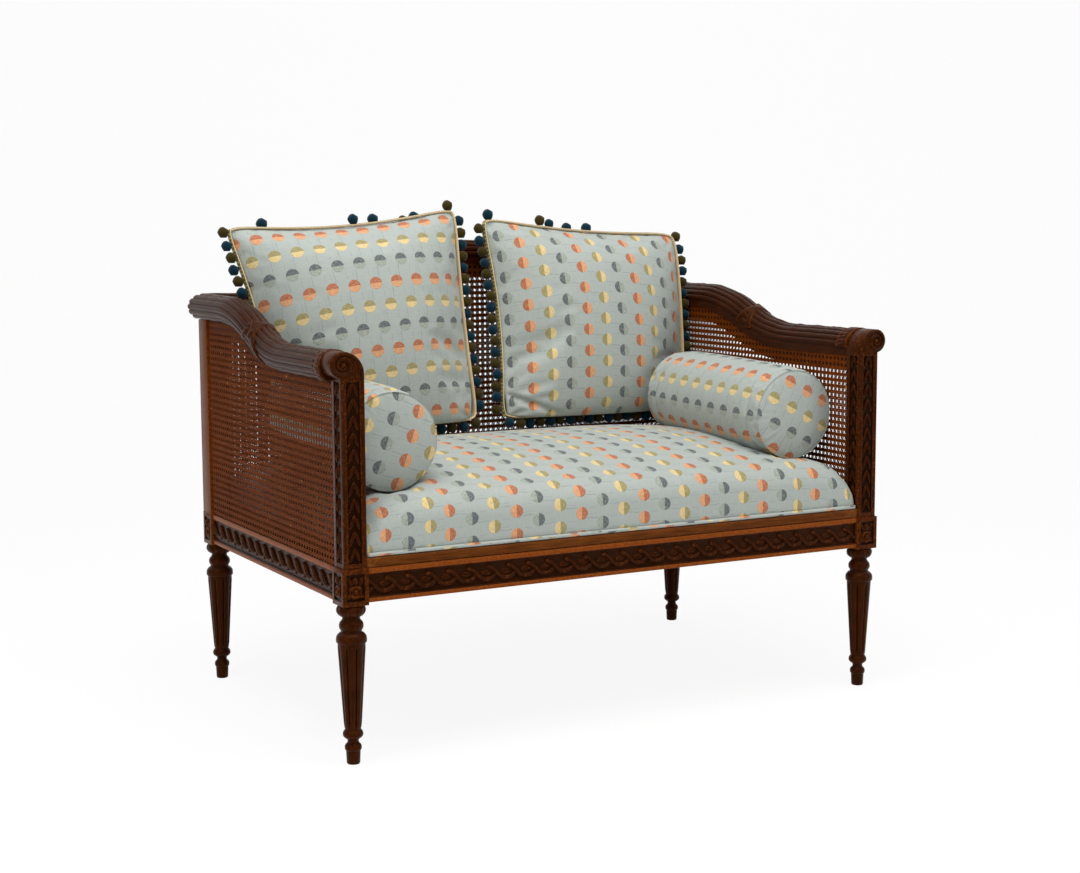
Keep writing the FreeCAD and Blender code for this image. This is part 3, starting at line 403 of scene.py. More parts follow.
# %% Flutes, leaves and the leg's rings
# The grooves are cut narrow between broad lands, so the points stand close together at each groove
land = [0, 1.6, 3.2, 5.5, 9, 13, 17.5, 22.5, 27.5, 32, 36, 39.5, 41.8, 43.4]
leg_angles = np.radians([45 * sector + offset for sector in range(8) for offset in land])
from_groove = np.mod(np.degrees(leg_angles), 45)
groove = np.exp(-(np.minimum(from_groove, 45 - from_groove) / 3.4) ** 2)
FLUTE_LOW, FLUTE_HIGH, KNOB_LOW, KNOB_HIGH = 67, 208, 257, 277

def turned(work, x, y):
    heights = [h for h, _ in turned_line[1:]]
    extra = list(np.linspace(66, 76, 9)) + list(np.linspace(80, 196, 16)) + list(np.linspace(198, 209, 9))
    extra += list(np.linspace(KNOB_LOW, KNOB_HIGH, 21))
    heights = np.unique(np.round(heights + extra, 2))
    rows = []
    for height in heights:
        radius = np.full(len(leg_angles), between(turned_line[1:], height))
        if FLUTE_LOW < height < FLUTE_HIGH:
            end = min(1, min(height - FLUTE_LOW, FLUTE_HIGH - height) / 7)
            radius -= math.sqrt(end) * (2.6 * groove + 0.5 * np.cos(8 * leg_angles))
        if KNOB_LOW < height < KNOB_HIGH:
            rise = math.sin((height - KNOB_LOW) / (KNOB_HIGH - KNOB_LOW) * math.pi)
            leaf = np.abs(np.sin(4 * leg_angles)) ** 0.5
            vein = np.abs(np.sin(12 * leg_angles + (height - KNOB_LOW) * 0.1)) ** 0.8
            radius -= rise * (3.0 * (1 - leaf) + 1.1 * (1 - vein))
        rows.append(np.c_[x + radius * np.cos(leg_angles), y + radius * np.sin(leg_angles),
                          np.full(len(leg_angles), height)])
    work.skin(rows)

# %% [markdown]
# ## Blocks, posts and scrolls
# The square block above each knob has a sunk square panel on its two outward faces, with a small
# flower carved in it. The front legs run on through the block as the arm posts: sunk panels on the
# front, the inner and the outer face, and a scroll at the top where the arm rail ends. A sunk panel
# is a face with a hole and a floor, so the post is its outline drawn once, pushed back and panelled.

# %% Blocks
BLOCK_LOW, BLOCK_TOP, BLOCK_HALF = 277, 340, 23.5
PANEL_HALF, PANEL_RISE, PANEL_SINK = 16, 23, 3

def block(work, x, y, out_y):
    """A square block with panels on its outward faces: to the right and towards out_y."""
    low, high = BLOCK_LOW, BLOCK_TOP
    middle = (low + high) / 2
    h = BLOCK_HALF
    for direction, axis in ((1, "x"), (-1, "x"), (1, "y"), (-1, "y")):
        def spot(across, up, deep=0.0):
            if axis == "x":
                return (x + direction * (h - deep), y + across, up)
            return (x + across, y + direction * (h - deep), up)
        outline = [spot(-h, low), spot(h, low), spot(h, high), spot(-h, high)]
        if direction == (1 if axis == "x" else out_y):
            hole = [spot(a, middle + b) for a, b in ((-PANEL_HALF, -PANEL_RISE), (PANEL_HALF, -PANEL_RISE),
                                                     (PANEL_HALF, PANEL_RISE), (-PANEL_HALF, PANEL_RISE))]
            work.holed(outline, hole, Vector(spot(0, 0, PANEL_SINK)) - Vector(spot(0, 0)))
        else:
            work.add(outline, [(0, 1, 2, 3)])
    for up in (low, high):
        work.add([(x - h, y - h, up), (x + h, y - h, up), (x + h, y + h, up), (x - h, y + h, up)], [(0, 1, 2, 3)])

# %% Posts with their scroll outline
POST_IN, POST_OUT, POST_FRONT, POST_BACK = 518, 560, -367, -326
SCROLL_X, SCROLL_Z, SCROLL_R, CROOK_R = 556, 683.5, 22.5, 38
PANEL_TOP, BORDER = 655, 9

def post_outline():
    top = SCROLL_Z + SCROLL_R
    line = [(POST_IN, BLOCK_TOP), (POST_OUT, BLOCK_TOP)]
    for angle in np.linspace(-math.pi / 2 + math.asin(4 / SCROLL_R), math.pi / 2, 22):
        line.append((SCROLL_X + SCROLL_R * math.cos(angle), SCROLL_Z + SCROLL_R * math.sin(angle)))
    for angle in np.linspace(math.pi / 2, math.pi, 14)[1:]:
        line.append((SCROLL_X + CROOK_R * math.cos(angle), top - CROOK_R + CROOK_R * math.sin(angle)))
    return line

def post(work):
    line = post_outline()
    front = [(x, POST_FRONT, z) for x, z in line]
    back = [(x, POST_BACK, z) for x, z in line]
    low = BLOCK_TOP + BORDER
    hole = [(POST_IN + BORDER, POST_FRONT, low), (POST_OUT - BORDER, POST_FRONT, low),
            (POST_OUT - BORDER, POST_FRONT, PANEL_TOP), (POST_IN + BORDER, POST_FRONT, PANEL_TOP)]
    work.holed(front, hole, (0, PANEL_SINK, 0))
    work.add(back, [tuple(range(len(back)))])
    for step in range(len(line)):
        after = (step + 1) % len(line)
        ends = [front[step], front[after], back[after], back[step]]
        if abs(line[step][0] - line[after][0]) < 0.01 and abs(line[step][1] - line[after][1]) > 200:
            face_x = line[step][0]
            into = (PANEL_SINK if face_x == POST_IN else -PANEL_SINK, 0, 0)
            near, far = POST_FRONT + BORDER, POST_BACK - BORDER
            rim = [(face_x, near, low), (face_x, far, low), (face_x, far, PANEL_TOP), (face_x, near, PANEL_TOP)]
            work.holed(ends, rim, into)
        else:
            work.add(ends, [(0, 1, 2, 3)])

# %% [markdown]
# The scroll's spiral is a raised bead that winds in to a boss. A bead along a line is a small round
# section carried along it, so one helper carries a section along any line, and the ribbons, the
# collars and the guilloche use it again.

# %% A bead along a line
def bead(work, line, widths, heights, outward, sides=8, closed=False):
    """A half round bead along a line. outward gives the way up from the surface at each point."""
    line = np.asarray(line, float)
    outward = np.broadcast_to(np.asarray(outward, float), line.shape)
    way = np.gradient(line, axis=0)
    if closed:
        way = np.roll(line, -1, 0) - np.roll(line, 1, 0)
    way /= np.linalg.norm(way, axis=1)[:, None]
    side = np.cross(way, outward)
    side /= np.linalg.norm(side, axis=1)[:, None]
    angles = np.linspace(0, 2 * math.pi, sides, endpoint=False)
    widths = np.broadcast_to(widths, len(line))
    heights = np.broadcast_to(heights, len(line))
    up = np.sin(angles)
    up = np.where(up < 0, up * 0.4, up)
    rows = []
    for p, s, o, w, h in zip(line, side, outward, widths, heights):
        rows.append(p + s * (np.cos(angles) * w)[:, None] + o * (up * h)[:, None])
    if closed:
        rows.append(rows[0])
    work.skin(rows, caps=not closed)

def button(work, centre, radius, rise, outward, sides=16):
    """A low dome on a surface."""
    outward = Vector(outward).normalized()
    across = outward.orthogonal().normalized()
    other = outward.cross(across)
    rows = []
    for turn_up in np.linspace(-0.3, 1.45, 7):
        size, lift = radius * math.cos(max(turn_up, 0)), rise * math.sin(turn_up)
        rows.append([Vector(centre) + outward * lift + across * (size * math.cos(a)) + other * (size * math.sin(a))
                     for a in np.linspace(0, 2 * math.pi, sides, endpoint=False)])
    work.skin(rows)

# %% Volutes on the scroll's faces
def volute(work):
    """One bead climbs the post's inner edge, rounds the crook and winds in to a boss."""
    y = POST_FRONT
    rise = SCROLL_Z + SCROLL_R - CROOK_R
    inset = 3.4
    line = [(POST_IN + inset, y, z) for z in np.linspace(346, rise, 20, endpoint=False)]
    line += [(SCROLL_X + (CROOK_R - inset) * math.cos(a), y, rise + (CROOK_R - inset) * math.sin(a))
             for a in np.linspace(math.pi, math.pi / 2, 22)]
    for turns in np.linspace(0, 1.6, 84)[1:]:
        radius, angle = SCROLL_R - inset - 8.0 * turns, math.pi / 2 - turns * 2 * math.pi
        line.append((SCROLL_X + radius * math.cos(angle), y, SCROLL_Z + radius * math.sin(angle)))
    marks = [0, 24, 60, len(line) - 1]
    steps = np.arange(len(line))
    bead(work, line, np.interp(steps, marks, [2.2, 3.2, 3.7, 2.4]), np.interp(steps, marks, [1.3, 2.4, 4.0, 3.0]),
         (0, -1, 0))
    button(work, (SCROLL_X, y, SCROLL_Z), 4.0, 4.4, (0, -1, 0))
    bead(work, [(POST_OUT - 3.2, y, z) for z in np.linspace(346, 652, 20)], 2.2, 1.3, (0, -1, 0))

# %% [markdown]
# ## Husks and flowers
# A string of husks, each a pair of leaves set like a chevron, climbs the posts' panels, and a small
# flower fills each block's panel. The same leaf is carved again and again, so it is made once, and
# Geometry Nodes set it along a line. The tree below is used for every row on this settee: it takes a
# line, cuts it at an even pitch and puts the shape there, with its own size and a fixed seed.

# %% What every tree shares
def tree_of(name, inputs):
    """A tree with a mesh in and out and with named inputs, and what comes in."""
    tree = bpy.data.node_groups.new(name, "GeometryNodeTree")
    for label, kind in {"Geometry": "Geometry", **inputs}.items():
        tree.interface.new_socket(label, in_out="INPUT", socket_type="NodeSocket" + kind)
    tree.interface.new_socket("Geometry", in_out="OUTPUT", socket_type="NodeSocketGeometry")
    return tree, add(tree, "NodeGroupInput", out=None)

def ended(tree, copies, finish_socket):
    """The copies become real faces, because the export drops instances, and get their finish."""
    real = add(tree, "GeometryNodeRealizeInstances", copies)
    done = add(tree, "GeometryNodeSetMaterial", {"Geometry": real, "Material": finish_socket})
    add(tree, "NodeGroupOutput", done, out=None)

def grown(name, mesh, tree, values):
    """What the tree makes of a mesh, as a plain mesh. Inputs are set by their identifiers."""
    obj = set_out(name, mesh)
    modifier = obj.modifiers.new(tree.name, "NODES")
    modifier.node_group = tree
    for item in tree.interface.items_tree:
        if item.in_out == "INPUT" and item.name in values:
            modifier[item.identifier] = values[item.name]
    fixed_mesh(obj)
    return obj

# %% The row tree
ROW, given = tree_of("carved row", {"Pitch": "Float", "Scale": "Float", "Wobble": "Float", "Shape": "Object",
                                    "Finish": "Material", "Seed": "Int"})
curve = add(ROW, "GeometryNodeMeshToCurve", given["Geometry"])
cut = add(ROW, "GeometryNodeResampleCurve", {"Curve": curve, "Length": given["Pitch"]}, mode="LENGTH")
facing = add(ROW, "GeometryNodeInputNamedAttribute", {"Name": "outward"}, data_type="FLOAT_VECTOR")
ahead = add(ROW, "FunctionNodeAlignRotationToVector", {"Vector": add(ROW, "GeometryNodeInputTangent")}, axis="Z")
level = add(ROW, "FunctionNodeAlignRotationToVector", {"Rotation": ahead, "Vector": facing}, axis="X", pivot_axis="Z")
less = add(ROW, "Math.SUBTRACT", 0.0, given["Wobble"])
chance = add(ROW, "FunctionNodeRandomValue", {2: less, 3: given["Wobble"], "Seed": given["Seed"]}, out=1,
             data_type="FLOAT")
ended(ROW, add(ROW, "GeometryNodeInstanceOnPoints", {
    "Points": cut, "Rotation": level, "Scale": add(ROW, "Math.ADD", chance, given["Scale"]),
    "Instance": add(ROW, "GeometryNodeObjectInfo", {"Object": given["Shape"]}, out="Geometry")}), given["Finish"])

def shape_of(name, work):
    """A hidden shape for a tree to repeat."""
    mesh = mesh_of(name, work.points, work.faces)
    welded(mesh)
    smoothed(mesh)
    return bpy.data.objects.new(name, mesh)

def row(name, lines, outwards, shape, pitch, material, scale=1.0, wobble=0.0, seed=1, body="frame",
        slot="carved_wood", shade=True):
    """The shape set along lines at a pitch, as one plain mesh that rides on a body."""
    points, edges, facing = [], [], []
    for line, outward in zip(lines, outwards):
        start = len(points)
        points += [tuple(point) for point in line]
        edges += [(start + i, start + i + 1) for i in range(len(line) - 1)]
        facing += [outward] * len(line)
    mesh = bpy.data.meshes.new(name)
    mesh.from_pydata((np.array(points, float) * MM).tolist(), edges, [])
    mesh.attributes.new("outward", "FLOAT_VECTOR", "POINT").data.foreach_set("vector", np.ravel(facing).astype(float))
    obj = grown(name, mesh, ROW, {"Pitch": pitch * MM, "Scale": scale, "Wobble": wobble, "Shape": shape,
                                  "Finish": material, "Seed": seed})
    if shade:
        worn_and_shaded(obj)
    handed_over(obj, body, slot)
    return obj

print("row tree", len(ROW.nodes), "nodes")

# %% The leaf, the chevron husk and the flower
def leaf_blade(length, width, rise):
    """A pointed leaf lying along z, raised along its vein, with its back in the surface."""
    work = Work()
    rows = []
    for share in np.linspace(0, 1, 6):
        half = width / 2 * math.sin(math.pi * min(0.97, 0.06 + share * 0.94)) ** 0.8
        z = share * length
        lift = rise * math.sin(math.pi * min(1, 0.15 + share * 0.85)) ** 0.6
        rows.append([(lift * 0.25, -half, z), (lift, -half * 0.35, z), (lift * 0.72, 0, z),
                     (lift, half * 0.35, z), (lift * 0.25, half, z), (-1.0, 0, z)])
    work.skin(rows)
    return work

def turned_about(work, degrees, at):
    """The work turned about x, then moved across and up."""
    c, s = math.cos(math.radians(degrees)), math.sin(math.radians(degrees))
    return work.moved(lambda x, y, z: (x, y * c - z * s + at[0], y * s + z * c + at[1]))

def joined(*works):
    whole = Work()
    for work in works:
        whole.add(work.points, work.faces)
    return whole

husk = shape_of("husk_leaf_pair", joined(
    turned_about(leaf_blade(27, 8.5, 4.4), 180 - 23, (0.6, 12)),
    turned_about(leaf_blade(27, 8.5, 4.4), 180 + 23, (-0.6, 12))))

def block_carving():
    """A ringed rosette with a ball and two leaves standing over it."""
    buds = Work()
    button(buds, (0.4, 0, -7.5), 12.5, 2.2, (1, 0, 0), 20)
    ring = np.linspace(0, 2 * math.pi, 20, endpoint=False)
    bead(buds, np.c_[np.full(20, 2.4), 8.8 * np.cos(ring), -7.5 + 8.8 * np.sin(ring)], 1.5, 1.6, (1, 0, 0), 6, True)
    button(buds, (2.2, 0, -7.5), 3.4, 3.6, (1, 0, 0), 12)
    button(buds, (0.6, -1, 10.5), 6.0, 5.4, (1, 0, 0), 14)
    leaves = [turned_about(leaf_blade(17, 8, 3.4), a, (b, 3)) for a, b in ((34, -5), (-34, 5))]
    leaves += [turned_about(leaf_blade(12, 7, 2.6), a, (b, -12)) for a, b in ((118, -5), (-118, 5))]
    return joined(buds, *leaves)

flower = shape_of("block_rosette", block_carving())
print("husk", len(husk.data.polygons), "rosette", len(flower.data.polygons), "faces")

# %% Four legs
REAR_POST_HALF, REAR_POST_TOP = 23, 726

def front_leg():
    work = Work()
    turned(work, LEG_X, LEG_FRONT)
    block(work, LEG_X, LEG_FRONT, -1)
    post(work)
    volute(work)
    return work

def rear_leg():
    work = Work()
    turned(work, LEG_X, LEG_BACK)
    block(work, LEG_X, LEG_BACK, 1)
    half = REAR_POST_HALF
    work.skin([[(LEG_X + a * half, LEG_BACK + b * half, z) for a, b in ((-1, -1), (1, -1), (1, 1), (-1, 1))]
               for z in (BLOCK_TOP, REAR_POST_TOP)])
    return work

for side in ("right", "left"):
    for end, leg in (("front", front_leg()), ("rear", rear_leg())):
        wooden(f"{end}_{side}_leg_turned", leg if side == "right" else leg.mirrored(), carved["z"],
               [f"{end}_{side}_leg"])

# %% Husks up the posts and flowers in the blocks
HUSK_PITCH = 26.6
post_x, post_y = (POST_IN + POST_OUT) / 2, (POST_FRONT + POST_BACK) / 2
middle_z = (BLOCK_LOW + BLOCK_TOP) / 2
husk_lines, husk_ways, flower_lines, flower_ways = [], [], [], []
for sign in (1, -1):
    for x, y, way in ((post_x, POST_FRONT + PANEL_SINK, (0, -1, 0)), (POST_IN + PANEL_SINK, post_y, (-sign, 0, 0)),
                      (POST_OUT - PANEL_SINK, post_y, (sign, 0, 0))):
        husk_lines.append([(sign * x, y, BLOCK_TOP + BORDER + 14), (sign * x, y, PANEL_TOP - 12)])
        husk_ways.append(way)
    for leg_y, out_y in ((LEG_FRONT, -1), (LEG_BACK, 1)):
        sunk_face = BLOCK_HALF - PANEL_SINK
        for x, y, way in ((LEG_X, leg_y + out_y * sunk_face, (0, out_y, 0)),
                          (LEG_X + sunk_face, leg_y, (sign, 0, 0))):
            flower_lines.append([(sign * x, y, middle_z), (sign * x, y, middle_z + 1)])
            flower_ways.append(way)
# A line shorter than the pitch carries one flower
row("post_husks", husk_lines, husk_ways, husk, HUSK_PITCH, carved["z"], wobble=0.04, seed=3)
row("block_rosettes", flower_lines, flower_ways, flower, 50, carved["z"], seed=4)

# %% [markdown]
# ## Seat rails and their guilloche
# Four rails join the blocks. The front and the two side rails carry a guilloche: two round strands that
# cross again and again in a sunk channel, with a low oval in every eye. One crossing is the repeat, so
# it is modelled once, with one strand over and one under, and the row tree sets it along each channel.
# The borders beside the channel have been rubbed for a century, so their wear is raised.

# %% One repeat of the guilloche
WAVE, STRAND_SWING, STRAND_HALF = 38.6, 10.8, 3.8

def round_swing(z):
    """How far a strand swings out: a sine with fuller turns."""
    s = np.sin(math.pi * z / WAVE)
    return STRAND_SWING * (1.25 * s - 0.25 * s ** 3)

def guilloche_wave():
    """One crossing. The falling strand lies on top. The climbing one ends under it."""
    work = Work()
    z = np.linspace(-WAVE / 2, WAVE / 2, 25)
    crossed = np.exp(-(z / 7) ** 2)
    head = 0.45 + 0.65 * np.clip((z + WAVE / 2) / 3.5, 0, 1) - 0.1 * np.clip((z + WAVE / 2 - 3.5) / 6, 0, 1)
    bead(work, np.c_[0.4 + 1.2 * crossed, round_swing(z), z], STRAND_HALF * head, 4.5 * head, (1, 0, 0), sides=10)
    z = np.linspace(-WAVE / 2, 2, 14)
    sunk = np.clip((z + 7) / 7, 0, 1)
    bead(work, np.c_[0.4 - 2.6 * sunk, -round_swing(z), z], STRAND_HALF, 4.5, (1, 0, 0), sides=10)
    angles = np.linspace(0, 2 * math.pi, 14, endpoint=False)
    rows = []
    for size, lift in ((1, -1), (1, 0.3), (0.7, 1.2), (0.02, 1.5)):
        rows.append([(lift, 4.6 * size * math.cos(a) - 1.0, WAVE / 2 + 8.0 * size * math.sin(a)) for a in angles])
    work.skin(rows)
    return work

wave = shape_of("guilloche_wave", guilloche_wave())
print("guilloche repeat", len(wave.data.polygons), "faces")

# %% Rails
RAIL_LOW, RAIL_THICK, CHANNEL_LOW, CHANNEL_HIGH, CHANNEL_DEPTH = 281, 44, 290, 328, 5

def rail(length, carved_side=True):
    """A rail along x with its face towards -y at y = 0."""
    outline = [(0, RAIL_LOW), (RAIL_THICK, RAIL_LOW), (RAIL_THICK, BLOCK_TOP), (2.0, BLOCK_TOP), (0.6, BLOCK_TOP - 1),
               (0, BLOCK_TOP - 3)]
    if carved_side:
        lip = ((0, 2.6), (1.6, 1.8), (2.2, 0), (CHANNEL_DEPTH, -1))
        outline += [(deep, CHANNEL_HIGH + up) for deep, up in lip]
        outline += [(deep, CHANNEL_LOW - up) for deep, up in reversed(lip)]
    work = Work()
    work.skin([[(x, y, z) for y, z in outline] for x in np.linspace(-length / 2, length / 2, 40)])
    return work

def rubbed_border(obj, axis, face):
    """Raises the wear where a piece's flat face lies."""
    spots = laid_out(obj)[0] / MM
    layer = obj.data.attributes["wear_and_shade"].data
    wear_and_shade = np.empty(len(spots))
    layer.foreach_get("value", wear_and_shade)
    border = np.abs(spots[:, axis] - face) < 1.1
    wear_and_shade[border] = np.maximum(wear_and_shade[border], 0.9)
    layer.foreach_set("value", wear_and_shade)

def set_down(work, turn_z, x, y):
    c, s = math.cos(math.radians(turn_z)), math.sin(math.radians(turn_z))
    return work.moved(lambda px, py, pz: (px * c - py * s + x, px * s + py * c + y, pz))

boxes = {name: [np.array(corner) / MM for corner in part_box(name)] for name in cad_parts}
front_low, front_high = boxes["front_rail"]
side_low, side_high = boxes["right_rail"]
across, along = front_high[0] - front_low[0], side_high[1] - side_low[1]
middle_y = (side_low[1] + side_high[1]) / 2
for side, length, turn, x, y, grain, axis in (("front", across, 0, 0, front_low[1], "x", 1),
                                              ("left", along, -90, -side_high[0], middle_y, "y", 0),
                                              ("right", along, 90, side_high[0], middle_y, "y", 0)):
    made = wooden(side + "_rail_channelled", set_down(rail(length), turn, x, y), carved[grain], [side + "_rail"],
                  edge=1.0)
    rubbed_border(made, axis, (x, y)[axis])
wooden("rear_rail_plain", set_down(rail(across, False), 180, 0, boxes["rear_rail"][1][1]), carved["x"],
       ["rear_rail"], edge=1.0)

# %% Front strip and the carving in the channels
strip_low, strip_high = boxes["front_strip"]
strip = Work()
lip = [(strip_low[1] + 1.8, strip_low[2]), (strip_high[1], strip_low[2]), (strip_high[1], strip_high[2]),
       (strip_low[1] + 4, strip_high[2]), (strip_low[1] + 1.2, strip_high[2] - 1.8), (strip_low[1],
                                                                                      strip_high[2] - 5),
       (strip_low[1], strip_low[2] + 2.4), (strip_low[1] + 0.5, strip_low[2] + 0.9)]
strip.skin([[(x, y, z) for y, z in lip] for x in np.linspace(strip_low[0], strip_high[0], 30)])
wooden("front_strip_rounded", strip, rubbed, ["front_strip"], edge=0.4)
channel_z, clear = (CHANNEL_LOW + CHANNEL_HIGH) / 2, 12
end_x, back_y, near_y = across / 2 - clear, middle_y + along / 2 - clear, middle_y - along / 2 + clear
front_y, side_x = front_low[1] + CHANNEL_DEPTH, side_high[0] - CHANNEL_DEPTH
waves = [[(-end_x, front_y, channel_z), (end_x, front_y, channel_z)],
         [(-side_x, back_y, channel_z), (-side_x, near_y, channel_z)],
         [(side_x, near_y, channel_z), (side_x, back_y, channel_z)]]
row("rail_guilloche", waves, [(0, -1, 0), (-1, 0, 0), (1, 0, 0)], wave, WAVE, carved["x"])

# %% [markdown]
# ## Reeded arm rails and crest rail
# The arms and the crest are the maker's show piece. Each is one swept bar with a rolled top cut into
# ten reeds, and it climbs in a double bend. A sweep suits it: the section is drawn once with the reeds
# as a wave on its two arcs, and it is carried along the bend, square to it. Arm and crest meet in a
# mitre behind, so the last section of each is pushed out by as much as it stands from the corner.

# %% The reeded section
ROLL_X, ROLL_TOP, ROLL_UNDER, TONGUE_UNDER = 553, 26, -25, -50
ROLL_INNER, ROLL_OUTER = 35, 27
QUARTER = ROLL_INNER * math.pi / 2
ROUND_ROLL = QUARTER + ROLL_OUTER * math.radians(155)
REEDS, REED_DEPTH, REED_POINTS = 10, 2.6, 12

def place_on_roll(gone, out):
    """Across and up from the roll's line, and the way out there. gone is the way round it so far."""
    angle, radius = ((math.pi - gone / ROLL_INNER, ROLL_INNER) if gone < QUARTER
                     else (math.pi / 2 - (gone - QUARTER) / ROLL_OUTER, ROLL_OUTER))
    return (radius + out) * math.cos(angle), ROLL_TOP - radius + (radius + out) * math.sin(angle), angle

def reeded_section():
    points = []
    for index in range(REEDS * REED_POINTS + 1):
        groove_in = REED_DEPTH * (1 - abs(math.sin(math.pi * index / REED_POINTS)) ** 0.65)
        points.append(place_on_roll(ROUND_ROLL * index / (REEDS * REED_POINTS), -groove_in)[:2])
    return points + [(3.8, ROLL_UNDER), (3.8, TONGUE_UNDER), (-31.3, TONGUE_UNDER), (-31.3, ROLL_UNDER),
                     (-34.4, ROLL_UNDER)]

SECTION = reeded_section()
print("section", len(SECTION), "points")

# %% Paths with a double bend
def bend_path(start, level, slope, radius, straight, bend, end, step=9.0):
    """Points and slopes along a level run, a double bend up by a slope, and a level run."""
    slope = math.radians(slope)
    line = [(at, level, 0.0) for at in np.arange(start, bend, step)]
    for angle in np.linspace(0, slope, 14):
        line.append((bend + radius * math.sin(angle), level + radius * (1 - math.cos(angle)), angle))
    x, z, _ = line[-1]
    for share in np.linspace(0, 1, 5)[1:]:
        line.append((x + straight * share * math.cos(slope), z + straight * share * math.sin(slope), slope))
    x, z, _ = line[-1]
    cx, cz = x + radius * math.sin(slope), z - radius * math.cos(slope)
    for angle in np.linspace(slope, 0, 14)[1:]:
        line.append((cx - radius * math.sin(angle), cz + radius * math.cos(angle), angle))
    x, z, _ = line[-1]
    return line + [(at, z, 0.0) for at in np.arange(x + step, end, step)] + [(end, z, 0.0)]

ARM_LOW, ARM_HIGH, ARM_BEND, ARM_END, CREST_BEND = 679, 751, -116, 345, -430
arm_line = bend_path(POST_BACK, ARM_LOW, 22, 377.6, 45.4, ARM_BEND, ARM_END)
crest_line = bend_path(-ROLL_X, ARM_HIGH, 24, 412.6, 70.5, CREST_BEND, 0)
print("arm ends at z", round(arm_line[-1][1], 1), "crest middle at z", round(crest_line[-1][1], 1))

def carved_by_hand(section, tremble, slope):
    """The section set at a slope, as along and up, with the roll swelling by a hair from cut to cut."""
    for a, b in section:
        b = b * (tremble if b > ROLL_UNDER else 1)
        yield a, -b * math.sin(slope), b * math.cos(slope)

def arm():
    """The right arm rail, from the scroll to the mitre at the back."""
    rng = np.random.default_rng(11)
    rows = []
    for index, (y, z, slope) in enumerate(arm_line):
        tremble = 1 + 0.02 * math.sin(index * 0.9) + 0.012 * rng.standard_normal()
        mitre = index == len(arm_line) - 1
        rows.append([(ROLL_X + a, y + mitre * a + along, z + up)
                     for a, along, up in carved_by_hand(SECTION, tremble, slope)])
    work = Work()
    work.skin(rows)
    return work

def crest():
    """The whole crest rail: its right half and the same again mirrored."""
    half = []
    for index, (x, z, slope) in enumerate(crest_line):
        tremble = 1 + 0.02 * math.sin(index * 0.7)
        mitre = index == 0
        half.append([(x - mitre * a + along, ARM_END + a, z + up)
                     for a, along, up in carved_by_hand(SECTION, tremble, slope)])
    work = Work()
    work.skin(half + [[(-x, y, z) for x, y, z in ring] for ring in reversed(half[:-1])])
    return work

arm_right = arm()
wooden("right_arm_rail_reeded", arm_right, carved["y"], ["right_arm_rail"], edge=0)
wooden("left_arm_rail_reeded", arm_right.mirrored(), carved["y"], ["left_arm_rail"], edge=0)
wooden("crest_rail_reeded", crest(), carved["x"], ["crest_rail"], edge=0)

# %% [markdown]
# Two things are carved over the reeds. A ribbon is tied round each arm where the bend is steepest:
# two bands that cross on the outer side. Behind the scroll sits a collar of leaves between beads,
# whose front bead has been rubbed back to orange wood. Both follow the roll, so they are beads laid
# on a line on its surface, found from the same section.

# %% Places on the roll
def on_roll(along, share, out=0.0):
    """A point on the arm's roll and the way out from it. share runs 0 to 1 round the roll."""
    ys, zs, slopes = zip(*arm_line)
    z, slope = np.interp(along, ys, zs), np.interp(along, ys, slopes)
    a, b, angle = place_on_roll(share * ROUND_ROLL, out)
    return ((ROLL_X + a, along - b * math.sin(slope), z + b * math.cos(slope)),
            (math.cos(angle), -math.sin(angle) * math.sin(slope), math.sin(angle) * math.cos(slope)))

def band_on_roll(work, start, end, widths, heights, steps=40, bow=0.0):
    """A bead from one place on the roll to another, each given as along and share."""
    shares = np.linspace(0, 1, steps)
    line, ways = zip(*(on_roll(start[0] + (end[0] - start[0]) * t + bow * math.sin(math.pi * t),
                               start[1] + (end[1] - start[1]) * t, -0.6) for t in shares))
    bead(work, line, widths, heights, ways, sides=10)

# %% Ribbon ties
def ribbon():
    work = Work()
    taper = 0.75 + 0.25 * np.cos(np.linspace(-1, 1, 40) * 2.2)
    band_on_roll(work, (44, 0.0), (-8, 1.0), 8.5 * taper, 3.2, bow=6)
    band_on_roll(work, (6, 0.0), (44, 0.62), 7.5, 2.6)
    band_on_roll(work, (46, 0.5), (-34, 0.97), 8.0 * taper, 3.8, bow=-5)
    band_on_roll(work, (38, 0.62), (66, 0.98), 5.0, 2.4)
    knot, way = on_roll(20, 0.66)
    button(work, knot, 10, 4.5, way, 18)
    return work

# %% Leaf collars behind the scrolls
COLLAR_LEAVES = 8
LEAF_WIDTHS = [3.2, 4.2, 4.8, 5.0, 5.0, 4.8, 4.3, 3.6, 2.6, 1.4]

def collar():
    work = Work()
    for at, width, rise in ((-323, 2.6, 3.2), (-317.5, 2.2, 2.2), (-291, 2.0, 1.6)):
        band_on_roll(work, (at, 0.0), (at, 1.0), width, rise, steps=56)
    for index in range(COLLAR_LEAVES):
        share = (index + 0.5) / COLLAR_LEAVES
        for half in (-1, 1):
            band_on_roll(work, (-315, share + half * 0.02), (-295, share + half * 0.035), LEAF_WIDTHS, 3.0, steps=10)
        between_leaves = share + 0.5 / COLLAR_LEAVES
        band_on_roll(work, (-315, between_leaves), (-299, between_leaves), 1.8, 2.2, steps=6)
    return work

for side in ("right", "left"):
    for name, work in (("ribbon_tie", ribbon()), ("leaf_collar", collar())):
        wooden(f"{side}_{name}", work if side == "right" else work.mirrored(), carved["y"], edge=0)

# %% [markdown]
# ## Double cane
# Cane is the shiny bark of rattan split into flat strands and woven by hand through holes 12 mm
# apart: two strands upright, two level and one along each diagonal, which leaves rows of small
# octagons. It covers both faces of the sides and the back, so light only passes where two holes line
# up. One crossing of the weave repeats thousands of times, so it is modelled once as curved ribbons
# with few faces, and a second tree lays it over the panel's outline and drops what falls outside.

